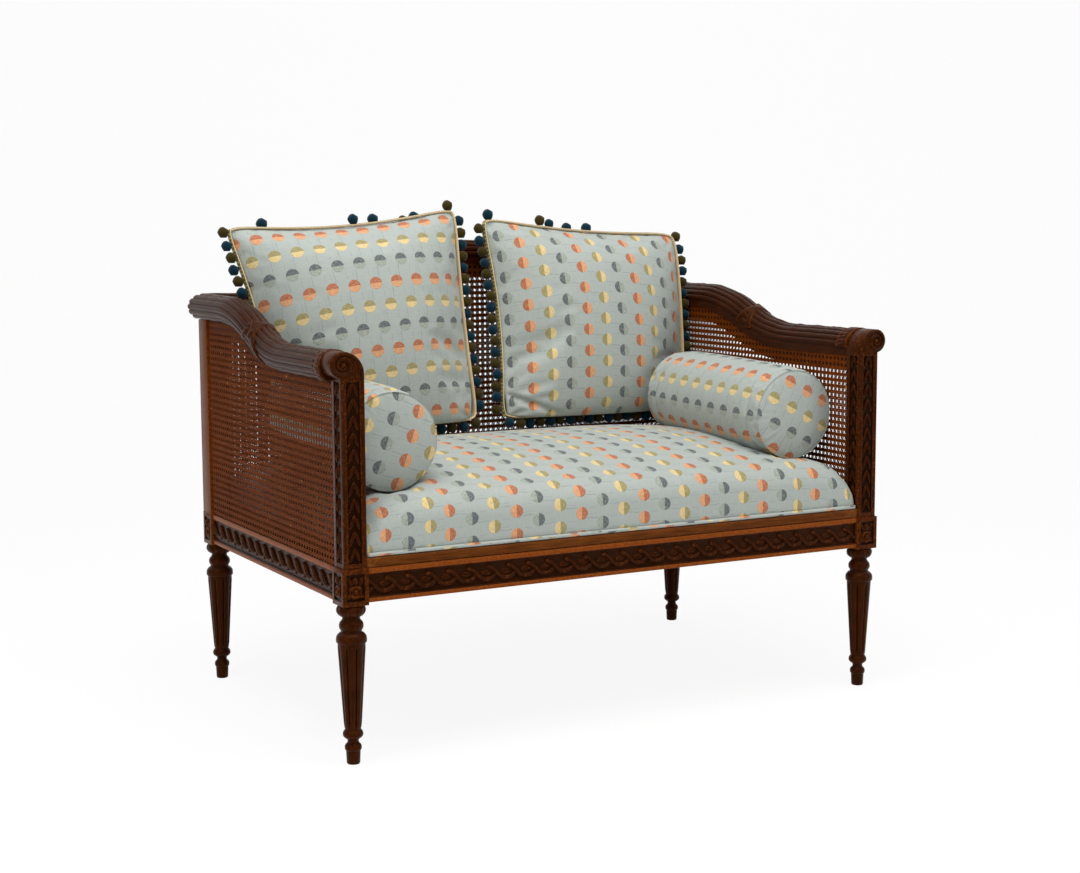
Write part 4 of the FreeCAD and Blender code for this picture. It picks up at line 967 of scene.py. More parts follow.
# %% Split cane
# The strands keep the rattan's hard skin, so they shine softly where a few bare spots don't
cane, tree, shader, place = finish("woven rattan cane")
fine = add(tree, "TexNoise", {"Vector": place, "Scale": per_metre(6.25), "Detail": 3.0})
broad = add(tree, "TexNoise", {"Vector": place, "Scale": per_metre(111.1), "Detail": 3.0})
spots = add(tree, "TexNoise", {"Vector": place, "Scale": per_metre(18.18), "Detail": 2.0})
bark = add(tree, "Mix", {0: fine, 6: "#3A1303", 7: "#86420F"}, out=2, data_type="RGBA")
bark = add(tree, "Mix", {0: add(tree, "MapRange", {0: broad, 1: 0.35, 2: 0.7, 4: 0.6}), 6: bark, 7: "#5A2607"}, out=2,
           data_type="RGBA")
bare = add(tree, "MapRange", {0: spots, 1: 0.72, 2: 0.76, 4: 0.8})
bark = add(tree, "Mix", {0: bare, 6: bark, 7: "#B9824A"}, out=2, data_type="RGBA")
feed(tree, shader, {"Base Color": bark, "Roughness": 0.45, "Specular IOR Level": 0.13, "Specular Tint": AMBER,
                    "Normal": add(tree, "Bump", {"Strength": 0.3, "Distance": 0.0004, "Height": fine})})
print("cane finish", len(tree.nodes), "nodes")

# %% One crossing of the weave
CANE_PITCH = 12.0
STRAND, PAIR_GAP, STRAND_RISE = 1.95, 1.4, 0.45

def crossing():
    """Two uprights, two levels and four diagonal runs over one square of the weave, facing -y."""
    work = Work()
    half = CANE_PITCH / 2

    def strand(start, end, lifts, width):
        start, end = np.array(start, float), np.array(end, float)
        way = (end - start) / np.linalg.norm(end - start)
        side = np.array([-way[1], way[0]]) * width / 2
        rows = []
        for share, lift in zip(np.linspace(0, 1, len(lifts)), lifts):
            x, z = start + (end - start) * share
            rows.append([(x - side[0], -lift, z - side[1]), (x, -lift - STRAND_RISE, z),
                         (x + side[0], -lift, z + side[1])])
        work.skin(rows, closed=False)

    for x in (-PAIR_GAP, PAIR_GAP):
        strand((x, -half), (x, half), (0.1, 0.7, 0.1), STRAND)
    for z in (-PAIR_GAP, PAIR_GAP):
        strand((-half, z), (half, z), (0.5, 0.15, 0.5), STRAND * 1.1)
    corners = [(-half, 0), (0, half), (half, 0), (0, -half)]
    for start, end in zip(corners, corners[1:] + corners[:1]):
        strand(start, end, (0.65, 0.65), STRAND * 0.85)
    return work

made = crossing()
mesh = mesh_of("cane_crossing", made.points, made.faces)
smoothed(mesh)
weave = bpy.data.objects.new("cane_crossing", mesh)
print("crossing", len(mesh.polygons), "faces")

# %% The weaving tree
WEAVE, given = tree_of("woven panel", {"Width": "Float", "Height": "Float", "Pitch": "Float", "Turn": "Float",
                                       "Middle": "Vector", "Crossing": "Object", "Finish": "Material"})
columns, rows = (add(WEAVE, "Math.ADD", add(WEAVE, "Math.DIVIDE", given[side], given["Pitch"]), 1.0)
                 for side in ("Width", "Height"))
grid = add(WEAVE, "GeometryNodeMeshGrid", {"Size X": given["Width"], "Size Y": given["Height"],
                                           "Vertices X": columns, "Vertices Y": rows})
stood = add(WEAVE, "CombineXYZ", {0: math.pi / 2, 2: given["Turn"]})
upright_grid = add(WEAVE, "GeometryNodeTransform", {"Geometry": grid, "Translation": given["Middle"],
                                                    "Rotation": stood})
away = add(WEAVE, "GeometryNodeProximity", given["Geometry"], out="Distance", target_element="FACES")
outside = add(WEAVE, "Math.GREATER_THAN", away, add(WEAVE, "Math.MULTIPLY", given["Pitch"], 0.55))
ended(WEAVE, add(WEAVE, "GeometryNodeInstanceOnPoints", {
    "Points": add(WEAVE, "GeometryNodeDeleteGeometry", upright_grid, outside),
    "Rotation": add(WEAVE, "CombineXYZ", {2: given["Turn"]}),
    "Instance": add(WEAVE, "GeometryNodeObjectInfo", {"Object": given["Crossing"]},
                    out="Geometry")}), given["Finish"])

def panel(node_name, outline, middle, width, height, turn):
    """Cane over a panel given by its outline, in place of a net."""
    name = node_name + "_woven"
    obj = grown(name, mesh_of(name, outline, tessellate_polygon([[Vector(p) for p in outline]])), WEAVE, {
        "Width": width * MM, "Height": height * MM, "Pitch": CANE_PITCH * MM, "Turn": turn,
        "Middle": [v * MM for v in middle], "Crossing": weave, "Finish": cane})
    handed_over(obj, "frame", "cane", [node_name])

print("weaving tree", len(WEAVE.nodes), "nodes")

# %% Six panels
BACK_HALF, SIDE_FROM, SIDE_TO, PANEL_LOW = 516, -326, 311, BLOCK_TOP - 4

def under_rail(line, at):
    return float(np.interp(at, [p[0] for p in line], [p[1] for p in line])) + ROLL_UNDER + 3

# The outer nets are set a little over, so that from in front their holes line up with the inner ones
for name, y, turn, over in (("back_outer_cane", 349.6, math.pi, (4, -3)), ("back_inner_cane", 313.3, 0.0, (0, 0))):
    outline = [(x, y, PANEL_LOW) for x in (-BACK_HALF, BACK_HALF)]
    outline += [(x, y, under_rail(crest_line, -abs(x))) for x in np.linspace(BACK_HALF, -BACK_HALF, 61)]
    panel(name, outline, (over[0], y, BLOCK_TOP + 246 + over[1]), 1056, 528, turn)
for sign, side in ((1, "right"), (-1, "left")):
    for layer, x, turn, over in (("inner", 521.1, -sign, (0, 0)), ("outer", 557.6, sign, (3.7, -6.2))):
        outline = [(sign * x, y, PANEL_LOW) for y in (SIDE_FROM, SIDE_TO)]
        outline += [(sign * x, y, under_rail(arm_line, y)) for y in np.linspace(SIDE_TO, SIDE_FROM, 41)]
        middle = (sign * x, (SIDE_FROM + SIDE_TO) / 2 + over[0], BLOCK_TOP + 186 + over[1])
        panel(f"{side}_{layer}_cane", outline, middle, 660, 420, turn * math.pi / 2)

# %% [markdown]
# ## The dotted cloth
# One upholstery cloth covers every cushion: a pale blue grey ground with embroidered dots, each split
# into a dark and a light half, in rows of rust, slate and gold, every row nearly half a step along
# from the last, and thin dark dashes between. A cloth's pattern must follow its own weave round every
# curve, so it reads the cloth's UV map, which counts in steps of the pattern: one step is 44 mm.

# %% Embroidered cotton
DOT_STEP, ROW_SHIFT = 44.0, 0.455
# Threads lie 0.5 mm apart on the real cloth, too fine for the picture, so they are drawn at 1.5 mm
THREAD = 1.5
DOT_COLOURS = (("#A9603E", "#D29568"), ("#525C61", "#949C92"), ("#958A5A", "#D6BD84"))
# Where a dash lies in its step, how strong it is, and half its length in steps
DASHES = ((0.25, 0.36, 0.25), (0.11, 0.16, 0.19), (0.80, 0.24, 0.16))

def dotted_cloth(name):
    material, tree, shader, place = finish(name)
    spread = add(tree, "UVMap", uv_map="cloth")
    parts = add(tree, "SeparateXYZ", {0: spread}, out=None)
    along, up = parts[0], parts[1]
    loose = add(tree, "TexNoise", {"Vector": spread, "Scale": 9.0, "Detail": 2.0})
    ragged = add(tree, "Math.MULTIPLY", add(tree, "Math.SUBTRACT", loose, 0.5), 0.035)
    row_number = add(tree, "Math.FLOOR", up)
    fy = add(tree, "Math.SUBTRACT", add(tree, "Math.SUBTRACT", up, row_number), 0.5)
    shifted = add(tree, "Math.SUBTRACT", along, add(tree, "Math.MULTIPLY", row_number, ROW_SHIFT))
    fx = add(tree, "Math.SUBTRACT", add(tree, "Math.FRACT", shifted), 0.5)
    away = add(tree, "Math.SQRT",
               add(tree, "Math.ADD", add(tree, "Math.MULTIPLY", fx, fx), add(tree, "Math.MULTIPLY", fy, fy)))
    away = add(tree, "Math.ADD", away, ragged)
    dot = add(tree, "MapRange", {0: away, 1: 0.286, 2: 0.272})
    kind = add(tree, "Math.FLOORED_MODULO", row_number, 3.0)
    past_rust, past_slate = (add(tree, "Math.GREATER_THAN", kind, limit) for limit in (0.5, 1.5))
    dark, light = (add(tree, "Mix",
                       {0: past_slate,
                        6: add(tree, "Mix", {0: past_rust, 6: rust, 7: slate}, out=2,
                               data_type="RGBA"), 7: gold}, out=2, data_type="RGBA")
                   for rust, slate, gold in zip(*DOT_COLOURS))
    upper = add(tree, "MapRange", {0: add(tree, "Math.ADD", fy, ragged), 1: -0.012, 2: 0.012})
    thread = add(tree, "Mix", {0: upper, 6: light, 7: dark}, out=2, data_type="RGBA")
    # The stitches are streaked along the dot: the pale cream streaks are painted sheen on the floss and the dark grey
    # streaks painted shade between the stitches
    laid = add(tree, "Mapping", {"Vector": spread, "Scale": (7.0, 60.0, 1.0)})
    stitches = add(tree, "TexNoise", {"Vector": laid, "Scale": 1.0, "Detail": 3.0})
    pale = add(tree, "MapRange", {0: stitches, 1: 0.5, 2: 0.72, 3: 0.0, 4: 0.42})
    thread = add(tree, "Mix", {0: pale, 6: thread, 7: "#E6DDC2"}, out=2, data_type="RGBA")
    deep = add(tree, "MapRange", {0: stitches, 1: 0.48, 2: 0.3, 3: 0.0, 4: 0.45})
    thread = add(tree, "Mix", {0: deep, 6: thread, 7: "#3C3A34"}, out=2, data_type="RGBA")
    gap_row = add(tree, "Math.FLOOR", add(tree, "Math.ADD", up, 0.5))
    gy = add(tree, "Math.ABSOLUTE", add(tree, "Math.SUBTRACT", up, gap_row))
    crooked = add(tree, "TexNoise", {"Vector": spread, "Scale": 3.0, "Detail": 2.0})
    slid = add(tree, "Math.ADD", add(tree, "Math.SUBTRACT", along, add(tree, "Math.MULTIPLY", gap_row, ROW_SHIFT)),
                 add(tree, "Math.MULTIPLY", crooked, 0.16))
    line = 0.0
    for spot, strength, half in DASHES:
        gx = add(tree, "Math.SUBTRACT", add(tree, "Math.FRACT", add(tree, "Math.SUBTRACT", slid, spot - 0.42)), 0.5)
        dash = add(tree, "MapRange", {0: add(tree, "Math.ABSOLUTE", gx), 1: 0.024, 2: 0.007, 4: strength})
        frayed = add(tree, "Math.ADD", gy, ragged)
        reach = add(tree, "MapRange", {0: frayed, 1: half + 0.02, 2: half - 0.02})
        line = add(tree, "Math.MAXIMUM", line, add(tree, "Math.MULTIPLY", dash, reach))
    threads = DOT_STEP / THREAD * 2 * math.pi
    warp = add(tree, "Math.SINE", add(tree, "Math.MULTIPLY", along, threads))
    weft = add(tree, "Math.SINE", add(tree, "Math.MULTIPLY", up, threads))
    woven = add(tree, "Math.MULTIPLY", warp, weft)
    drawn_out = add(tree, "Mapping", {"Vector": spread, "Scale": (2.0, 26.0, 1.0)})
    slub = add(tree, "TexNoise", {"Vector": drawn_out, "Scale": 1.0, "Detail": 4.0})
    cloud = add(tree, "TexNoise", {"Vector": place, "Scale": per_metre(83.33), "Detail": 3.0})
    ground = add(tree, "Mix", {0: slub, 6: "#8F9894", 7: "#B4B9B1"}, out=2, data_type="RGBA")
    ground = add(tree, "Mix", {0: add(tree, "Math.MULTIPLY", cloud, 0.5), 6: ground, 7: "#A2AAA5"}, out=2,
                 data_type="RGBA")
    ground = add(tree, "Mix", {0: line, 6: ground, 7: "#4C666B"}, out=2, data_type="RGBA")
    raised = add(tree, "Math.MULTIPLY", dot, add(tree, "Math.ADD", add(tree, "Math.MULTIPLY", stitches, 1.2), 1.0))
    height = add(tree, "Math.ADD", raised, add(tree, "Math.MULTIPLY", woven, 0.25))
    height = add(tree, "Math.ADD", height, add(tree, "Math.MULTIPLY", slub, 0.3))
    # Cotton is matt, with a soft bloom of loose fibre where it turns away
    colour = add(tree, "Mix", {0: dot, 6: ground, 7: thread}, out=2, data_type="RGBA")
    feed(tree, shader, {"Base Color": colour, "Roughness": 0.78, "Specular IOR Level": 0.25,
                        "Sheen Weight": 0.12, "Sheen Roughness": 0.5,
                        "Normal": add(tree, "Bump", {"Strength": 0.5, "Distance": 0.0006, "Height": height})})
    return material

seat_cloth, pillow_cloth, bolster_cloth = (dotted_cloth("embroidered cotton, " + what)
                                           for what in ("seat", "pillows", "bolsters"))
print("cloth finish", len(seat_cloth.node_tree.nodes), "nodes")

# %% [markdown]
# ## Stuffed pieces
# A cushion is two or more cut panels sewn along their edges and filled until the cloth is tight. To
# make it the same way, each one starts as a grid of quads in its panels' shape with the cloth's own
# measure written in the UV map. Then the cloth simulation pumps it up while the seams are held, so
# the cloth swells and creases near its seams as stuffed cloth does. A cap on how far any point may
# move keeps it clear of its neighbours.

# %% Sewing and stuffing
def sewn(name, grids):
    """One cushion mesh from grids of (points, cloth positions), welded where panels share an edge."""
    points, faces, cloth = [], [], []
    for spots, measure in grids:
        start = len(points)
        rows, columns = spots.shape[:2]
        points += spots.reshape(-1, 3).tolist()
        flat = measure.reshape(-1, 2)
        for i in range(rows - 1):
            for j in range(columns - 1):
                corners = [i * columns + j, i * columns + j + 1, (i + 1) * columns + j + 1, (i + 1) * columns + j]
                faces.append([start + c for c in corners])
                cloth += [flat[c] for c in corners]
    mesh = mesh_of(name, points, faces)
    mesh.uv_layers.new(name="cloth").data.foreach_set("uv", np.asarray(cloth, float).ravel())
    welded(mesh, 0.05)
    return set_out(name, mesh)

def stuffed(obj, held, reach, shrink=-0.02, pressure=4.0, stiffness=20, quality=6, frames=20):
    """Pumps the cushion up with the cloth simulation. held gives how firmly each point stays put."""
    before = laid_out(obj)[0]
    group = obj.vertex_groups.new(name="held")
    for index, weight in enumerate(held):
        if weight > 0.01:
            group.add([index], float(weight), "REPLACE")
    cloth = obj.modifiers.new("stuffing", "CLOTH")
    rules = cloth.settings
    rules.quality, rules.mass = quality, 0.3
    rules.tension_stiffness = rules.compression_stiffness = stiffness
    rules.shear_stiffness, rules.bending_stiffness = 8, 0.4
    rules.vertex_group_mass = "held"
    rules.shrink_min = shrink
    rules.use_pressure, rules.uniform_pressure_force = True, pressure
    rules.effector_weights.gravity = 0
    cloth.collision_settings.use_collision = False
    cloth.point_cache.frame_start, cloth.point_cache.frame_end = 1, frames
    for moment in range(1, frames + 1):
        bpy.context.scene.frame_set(moment)
    fixed_mesh(obj)
    bpy.context.scene.frame_set(1)
    move = laid_out(obj)[0] - before
    far = np.linalg.norm(move, axis=1)
    print(obj.name, "moved at most", round(far.max() / MM, 1), "mm, middle", round(float(np.median(far)) / MM, 1))
    move *= np.minimum(1, reach * MM / np.maximum(far, 1e-9))[:, None]
    obj.data.vertices.foreach_set("co", (before + move).ravel())
    obj.vertex_groups.clear()
    obj.data.update()

def upholstered(obj, material, body, node_names, slot, levels=0):
    if levels:
        smooth = obj.modifiers.new("smooth", "SUBSURF")
        smooth.levels = smooth.render_levels = levels
        smooth.uv_smooth = "PRESERVE_BOUNDARIES"
        fixed_mesh(obj)
    smoothed(obj.data)
    obj.data.materials.clear()
    obj.data.materials.append(material)
    handed_over(obj, body, slot, node_names)

# %% [markdown]
# ## Seat
# The seat is sprung and stuffed over webbing. Its front edge is tight and square, its top domes up
# towards the middle, and it falls in a short shoulder at each arm. The dots run from back to front in
# columns and turn down over the front edge, so the cloth's measure follows each section's length.

# %% Where the bolsters lie and how the seat falls to its sides
BOLSTER_X, BOLSTER_SEAM, BOLSTER_Z, BOLSTER_LONG = 429, -276, 539, 400
BOLSTER_R, BOLSTER_END, BOLSTER_DOME, TILT = 91, 87, 11, math.radians(1.5)
SEAT_FRONT, SEAT_BACK, SEAT_SIDE, SEAT_LOW = -357, 308, 515, 357.5
# Heights at the front edge, on the crown and at the rear edge, each in the middle and beside the arms
SEAT_HEIGHTS = ((456, 396), (497, 402), (460, 401))
# The share of the way to an arm, and how far the front edge and the crown have fallen there
falls = ((0.0, 0, 0), (0.35, 0, 0), (0.52, 0, 0.025), (0.68, 0, 0.08), (0.76, 0.01, 0.19), (0.83, 0.03, 0.34),
         (0.88, 0.1, 0.43), (0.92, 0.2, 0.5), (0.95, 0.35, 0.6), (0.97, 0.52, 0.7), (0.99, 0.74, 0.86), (1.0, 1, 1))

def along_it(line):
    """The length along a line of points, at each point."""
    return np.r_[0, np.cumsum(np.linalg.norm(np.diff(line, axis=0), axis=1))]

def three_point(first, middle, last, count):
    """Points on the smooth curve through three."""
    t = np.linspace(0, 1, count)[:, None]
    first, middle, last = (np.array(p, float) for p in (first, middle, last))
    share = np.linalg.norm(middle - first) / (np.linalg.norm(middle - first) + np.linalg.norm(last - middle))
    control = (middle - first * (1 - share) ** 2 - last * share ** 2) / (2 * share * (1 - share))
    return first * (1 - t) ** 2 + control * 2 * t * (1 - t) + last * t ** 2

def seat_line(share):
    """The seat's outline from front to back at a share of the way to an arm."""
    edge_fall, crown_fall = (np.interp(abs(share), [f[0] for f in falls], [f[i] for f in falls]) for i in (1, 2))
    edge, crown, rear = (float(middle - (middle - side) * fall) for (middle, side), fall in
                         zip(SEAT_HEIGHTS, (edge_fall, crown_fall, crown_fall)))
    radius = min(48, (edge - SEAT_LOW) * 0.7)
    face = [(SEAT_FRONT, z) for z in np.linspace(SEAT_LOW, edge - radius, 7)]
    corner = [(SEAT_FRONT + radius * (1 - math.cos(a)), edge - radius + radius * math.sin(a))
              for a in np.linspace(0, math.pi / 2, 14)[1:-1]]
    top = three_point((SEAT_FRONT + radius, edge), (-40, crown), (SEAT_BACK, rear), 66).tolist()
    back = [(SEAT_BACK, z) for z in np.linspace(rear, SEAT_LOW, 7)[1:]]
    return np.array(face + corner + top + back)

# %% Seat cushion
stations = np.sin(np.linspace(-math.pi / 2, math.pi / 2, 121) * 0.92) / math.sin(math.pi / 2 * 0.92)
lines = [seat_line(share) for share in stations]
spots = np.array([[(SEAT_SIDE * share, y, z) for y, z in line] for share, line in zip(stations, lines)])
down = np.array([along_it(line) for line in lines])
# The bolsters have pressed a shallow hollow along each side
aside, deep = np.abs(spots[..., 0]) - BOLSTER_X, spots[..., 1]
beyond = np.maximum(0, np.maximum(BOLSTER_SEAM - 12 - deep, deep - BOLSTER_SEAM - BOLSTER_LONG - 12))
lowest = BOLSTER_Z + (deep - BOLSTER_SEAM) * math.tan(TILT) - np.sqrt(np.maximum(BOLSTER_R ** 2 - aside ** 2, 1))
pressed = (np.abs(aside) < BOLSTER_R) & (spots[..., 2] > SEAT_LOW + 20)
spots[..., 2] = np.where(pressed, np.minimum(spots[..., 2], lowest + beyond - 1), spots[..., 2])
wide = along_it(spots[:, 40])
wide -= wide[len(wide) // 2]
# The cloth is pulled tighter over the front roll than on the top, and its threads bow a little
steps_back = np.interp(down, (-2, 40, 81.5, 130, 183, 235, 286, 337, 388, 745), (-1, 0, 1, 2, 3, 4, 5, 6, 7, 14))
across = np.repeat(wide[:, None], spots.shape[1], 1)
bow = (0.025 * across + 0.00009 * across ** 2) / DOT_STEP
lean_back = 0.075 * np.clip(down - 100, 0, 240)
measure = np.stack([0.464 - steps_back - bow, (across + 95.5 - lean_back) / 43.9 + 0.5], -1)
under = np.linspace(spots[:, 0], spots[:, -1], 60, axis=1)
grids = [(spots, measure), (under[:, ::-1], under[..., [1, 0]] / DOT_STEP)]
for end in (0, -1):
    rim = spots[end]
    floor = np.c_[rim[:, 0], rim[:, 1], np.full(len(rim), SEAT_LOW)]
    wall = np.array([rim + (floor - rim) * t for t in np.linspace(0, 1, 8)])
    grids.append((wall, np.stack([wall[..., 1] / DOT_STEP, (wall[..., 2] - SEAT_LOW) / DOT_STEP], -1)))
seat = sewn("seat_cushion_stuffed", grids)
upholstered(seat, seat_cloth, "frame", ["seat_cushion"], "seat_fabric")

# %% The seat's corded welt, with its cloth cut across on the bias
WELT_Y, WELT_Z, WELT_R = -360.4, 360.9, 3.4
line = np.array([(x, WELT_Y, WELT_Z) for x in np.linspace(-SEAT_SIDE, SEAT_SIDE, 160)])
side = np.cross((1, 0, 0), (0.31, 0.17, 0.93))
side /= np.linalg.norm(side)
other = np.cross((1, 0, 0), side)
angles = np.linspace(0, 2 * math.pi, 13)
spots = line[:, None] + WELT_R * (side * np.cos(angles)[:, None] + other * np.sin(angles)[:, None])
run, round_it = np.broadcast_arrays(along_it(line)[:, None] / DOT_STEP, angles[None] * WELT_R / DOT_STEP)
welt = sewn("seat_welt_corded", [(spots, np.stack([0.7 * (run - round_it), 0.7 * (run + round_it)], -1))])
shape = bmesh.new()
shape.from_mesh(welt.data)
bmesh.ops.holes_fill(shape, edges=shape.edges)
bmesh.ops.recalc_face_normals(shape, faces=shape.faces)
shape.to_mesh(welt.data)
shape.free()
upholstered(welt, seat_cloth, "frame", ["seat_welt"], "seat_fabric")

# %% [markdown]
# ## Pillows
# Two square pillows lean on the back. Their sides pull in between the corners and the upper edge
# dips, because the filling draws the cloth in where the panels are widest. The seam line is the same
# as in the model; the panels swell from it, and the cloth's measure is taken along the panel itself.

# %% The pillows' seam and panels
LEAN, PILLOW_Y, PILLOW_REST, PILLOW_THICK = math.radians(9), 201, 507.5, 128
FRONT_HANG = 44

class PillowCut:
    """The seam plane of a pillow, its corners in millimetres, and how far each side draws in."""

    def __init__(self, low, high, tops, draws, pressed=()):
        self.draws, self.pressed = draws, pressed
        stretch = 1 / math.cos(LEAN)
        left_up, right_up = ((top - PILLOW_REST) * stretch for top in tops)
        self.corners = np.array([(low[0], 0), (low[1], 0), (high[1], right_up), (high[0], left_up)], float)

    def seam_spot(self, right, up):
        low_left, low_right, high_right, high_left = self.corners
        lower, right_draw, upper, left_draw = self.draws
        low = low_left + (low_right - low_left) * ((1 + right) / 2)
        high = high_left + (high_right - high_left) * ((1 + right) / 2)
        flat = low + (high - low) * ((1 + up) / 2)
        inward = (left_draw * (1 - right) - right_draw * (1 + right)) / 2
        level = (lower * (1 - up) - upper * (1 + up)) / 2
        round_off = -9 * np.sign([right, up]) * abs(right * up) ** 10
        return flat + np.array([inward * (1 - up ** 2), level * (1 - right ** 2)]) + round_off

    def folds(self, flat):
        """Creases that run in from the corners and die out, and any deep fold pressed in the panel."""
        total = 0.0
        for corner, inward in zip(self.corners, (45, 135, 225, 315)):
            away = flat - corner
            far = math.hypot(*away)
            turn = math.atan2(away[1], away[0]) - math.radians(inward)
            total += 2.2 * math.sin(turn * 10 + inward) * math.exp(-far / 75) * (1 - math.exp(-far / 14))
        for start, end, depth, width in self.pressed:
            from_start, way = flat - start, np.subtract(end, start)
            share = min(1, max(0, np.dot(from_start, way) / np.dot(way, way)))
            off = math.hypot(*(from_start - way * share))
            total -= depth * math.exp(-(off / width) ** 2) * (1 - 0.7 * share ** 2)
        return total

    def placed(self, flat, depth):
        """From the seam plane to the settee: leaned back and set on the seat."""
        x, up = flat
        c, s = math.cos(-LEAN), math.sin(-LEAN)
        return (x, PILLOW_Y + depth * c - up * s, PILLOW_REST + depth * s + up * c)

def pillow(body, cut, pattern):
    """Front and back panels on one grid, sewn along the seam."""
    count, thick = 66, PILLOW_THICK
    turns = np.linspace(0, math.pi, count + 1)
    # Closer together near the seam, where the panels turn in
    steps = -(0.78 * np.cos(turns) + 0.22 * (1 - 2 * turns / math.pi))
    grids = []
    for face in (-1, 1):
        spots = np.zeros((count + 1, count + 1, 3))
        plane = np.zeros((count + 1, count + 1, 3))
        for i, height in enumerate(steps):
            for j, across in enumerate(steps):
                flat = cut.seam_spot(across, height)
                swell = 1.5 + (thick / 2 - 1.5) * math.sqrt(abs((1 - across ** 2) * (1 - height ** 2)))
                swell += cut.folds(flat) * min(1, swell / 20)
                # The filling has settled, so the front hangs down over the lower seam
                flat = flat - np.array([0, FRONT_HANG * swell / thick * 2 * (0.5 - height / 2) ** 3]) * (face < 0)
                swell *= face
                if i in (0, count) or j in (0, count):
                    swell = 0.0
                spots[i, j] = cut.placed(flat, swell)
                plane[i, j] = (flat[0], flat[1], swell)
        middle = count // 2
        across_step = np.hypot(np.diff(plane[..., 0], axis=1), np.diff(plane[..., 2], axis=1))
        along_x = np.concatenate([np.zeros((count + 1, 1)), np.cumsum(across_step, 1)], 1)
        along_x += plane[:, middle, 0][:, None] - along_x[:, middle][:, None]
        up_step = np.hypot(np.diff(plane[..., 1], axis=0), np.diff(plane[..., 2], axis=0))
        along_z = np.concatenate([np.zeros((1, count + 1)), np.cumsum(up_step, 0)], 0)
        along_z += plane[middle, :, 1][None] - along_z[middle, :][None]
        grids.append((spots, pattern(along_x, along_z)))
    obj = sewn(body + "_stuffed", grids)
    seam = np.array([cut.placed(cut.seam_spot(r, u), 0) for r in steps for u in (-1, 1)]
                    + [cut.placed(cut.seam_spot(r, u), 0) for u in steps for r in (-1, 1)]) * MM
    gap = np.min(np.linalg.norm(laid_out(obj)[0][:, None] - seam[None], axis=2), axis=1)
    stuffed(obj, np.clip(1 - gap / MM, 0, 1), 14, shrink=-0.01, pressure=3.0, stiffness=12, quality=12)
    upholstered(obj, pillow_cloth, body, [body], "pillow_fabric", levels=1)

# %% The two pillows
def upright(x, up):
    """Rows level, one above another, as the left pillow's cloth is cut."""
    rise = up - 281.5
    row_bow = 0.08 * (x + 220) - 0.0002 * (x + 220) ** 2
    dot_lean = 12 + np.where(rise < 0, -0.05 * rise + 0.00009 * rise ** 2, -0.1 * rise)
    stretch = 0.09 * np.clip((rise - 60) / 72, 0, 1.3)
    return np.stack([(x + 271 - dot_lean) / 46 + 0.5, (rise - row_bow) / 44.1 + 0.5 + stretch], -1)

def sideways(x, up):
    """Rows upright, side by side, as the right pillow's cloth is cut."""
    dot_bow = -0.03 * (x - 109) + 0.000325 * (x - 109) ** 2
    return np.stack([(up + dot_bow) / 44 - 0.028, -(x - 258) / 42 + 2.5], -1)

left_cut = PillowCut((-460, -25), (-535, -40), (908, 942), (4, 7, 19, 18))
right_cut = PillowCut((33, 477), (21, 491), (922, 886), (4, -8, 12, 18),
                      (((26, 56), (150, 14), 13, 6), ((26, 150), (150, 172), 2.6, 9),
                       ((26, 128), (120, 132), 2.2, 8)))
pillow("left_pillow", left_cut, upright)
pillow("right_pillow", right_cut, sideways)

# %% [markdown]
# ## Braid and pompoms
# A flat braid binds the pillows' seam, cream and twisted on its two faces, with yellow beads between
# green lines on its edge. It carries balls of clipped wool, teal and olive in turn. On the upper side
# most of the balls have fallen behind the pillow. The braid is a flat tube whose cloth map runs along
# it. A ball repeats two hundred times, so it has few faces, and the wool's fuzz is in its finish.

# %% Wool
def wool(name, dark, light):
    """Clipped wool has no gloss, only a bloom of fibre ends, drawn as blotches of a millimetre."""
    material, tree, shader, place = finish(name)
    fuzz = add(tree, "TexNoise", {"Vector": place, "Scale": per_metre(1.111), "Detail": 3.0})
    colour = add(tree, "Mix", {0: fuzz, 6: dark, 7: light}, out=2, data_type="RGBA")
    feed(tree, shader, {"Base Color": colour, "Roughness": 0.9, "Specular IOR Level": 0.1,
                        "Sheen Weight": 0.2, "Sheen Roughness": 0.4,
                        "Normal": add(tree, "Bump", {"Strength": 0.8, "Distance": 0.0012, "Height": fuzz})})
    return material

WOOLS = (("teal", wool("teal wool", "#03121A", "#0C3647")), ("olive", wool("olive wool", "#1C1704", "#473B10")))
print("wools", [name for name, _ in WOOLS])

# %% Silk braid
STRAND_STEP, BEAD_STEP = 5, 8
# Silk is smoother than wool, and the slant of its strands breaks up the light.
# The cream is lighter on each strand's crest and darker in the grooves between them: painted highlight and painted
# shade.
silk, tree, shader, place = finish("braided silk")
parts = add(tree, "SeparateXYZ", add(tree, "UVMap", uv_map="cloth"), out=None)
slant = add(tree, "Math.ADD", parts[0], add(tree, "Math.MULTIPLY", parts[1], 0.6))
strands = add(tree, "Math.SINE", add(tree, "Math.MULTIPLY", slant, DOT_STEP / STRAND_STEP * 2 * math.pi))
strands = add(tree, "Math.ADD", add(tree, "Math.MULTIPLY", strands, 0.5), 0.5)
from_edge = add(tree, "Math.ABSOLUTE", add(tree, "Math.ADD", parts[1], 0.09))
beads = add(tree, "Math.COSINE", add(tree, "Math.MULTIPLY", parts[0], DOT_STEP / BEAD_STEP * 2 * math.pi))
round_bead = add(tree, "Math.SUBTRACT", beads, add(tree, "Math.MULTIPLY", from_edge, 22.0))
edge = add(tree, "Mix", {0: add(tree, "MapRange", {0: round_bead, 1: -0.6, 2: 0.1}), 6: "#4E5A34", 7: "#DDB851"},
           out=2, data_type="RGBA")
on_edge = add(tree, "MapRange", {0: from_edge, 1: 0.1, 2: 0.085})
cream = add(tree, "Mix", {0: strands, 6: "#B79667", 7: "#EBD7AE"}, out=2, data_type="RGBA")
colour = add(tree, "Mix", {0: on_edge, 6: cream, 7: edge}, out=2, data_type="RGBA")
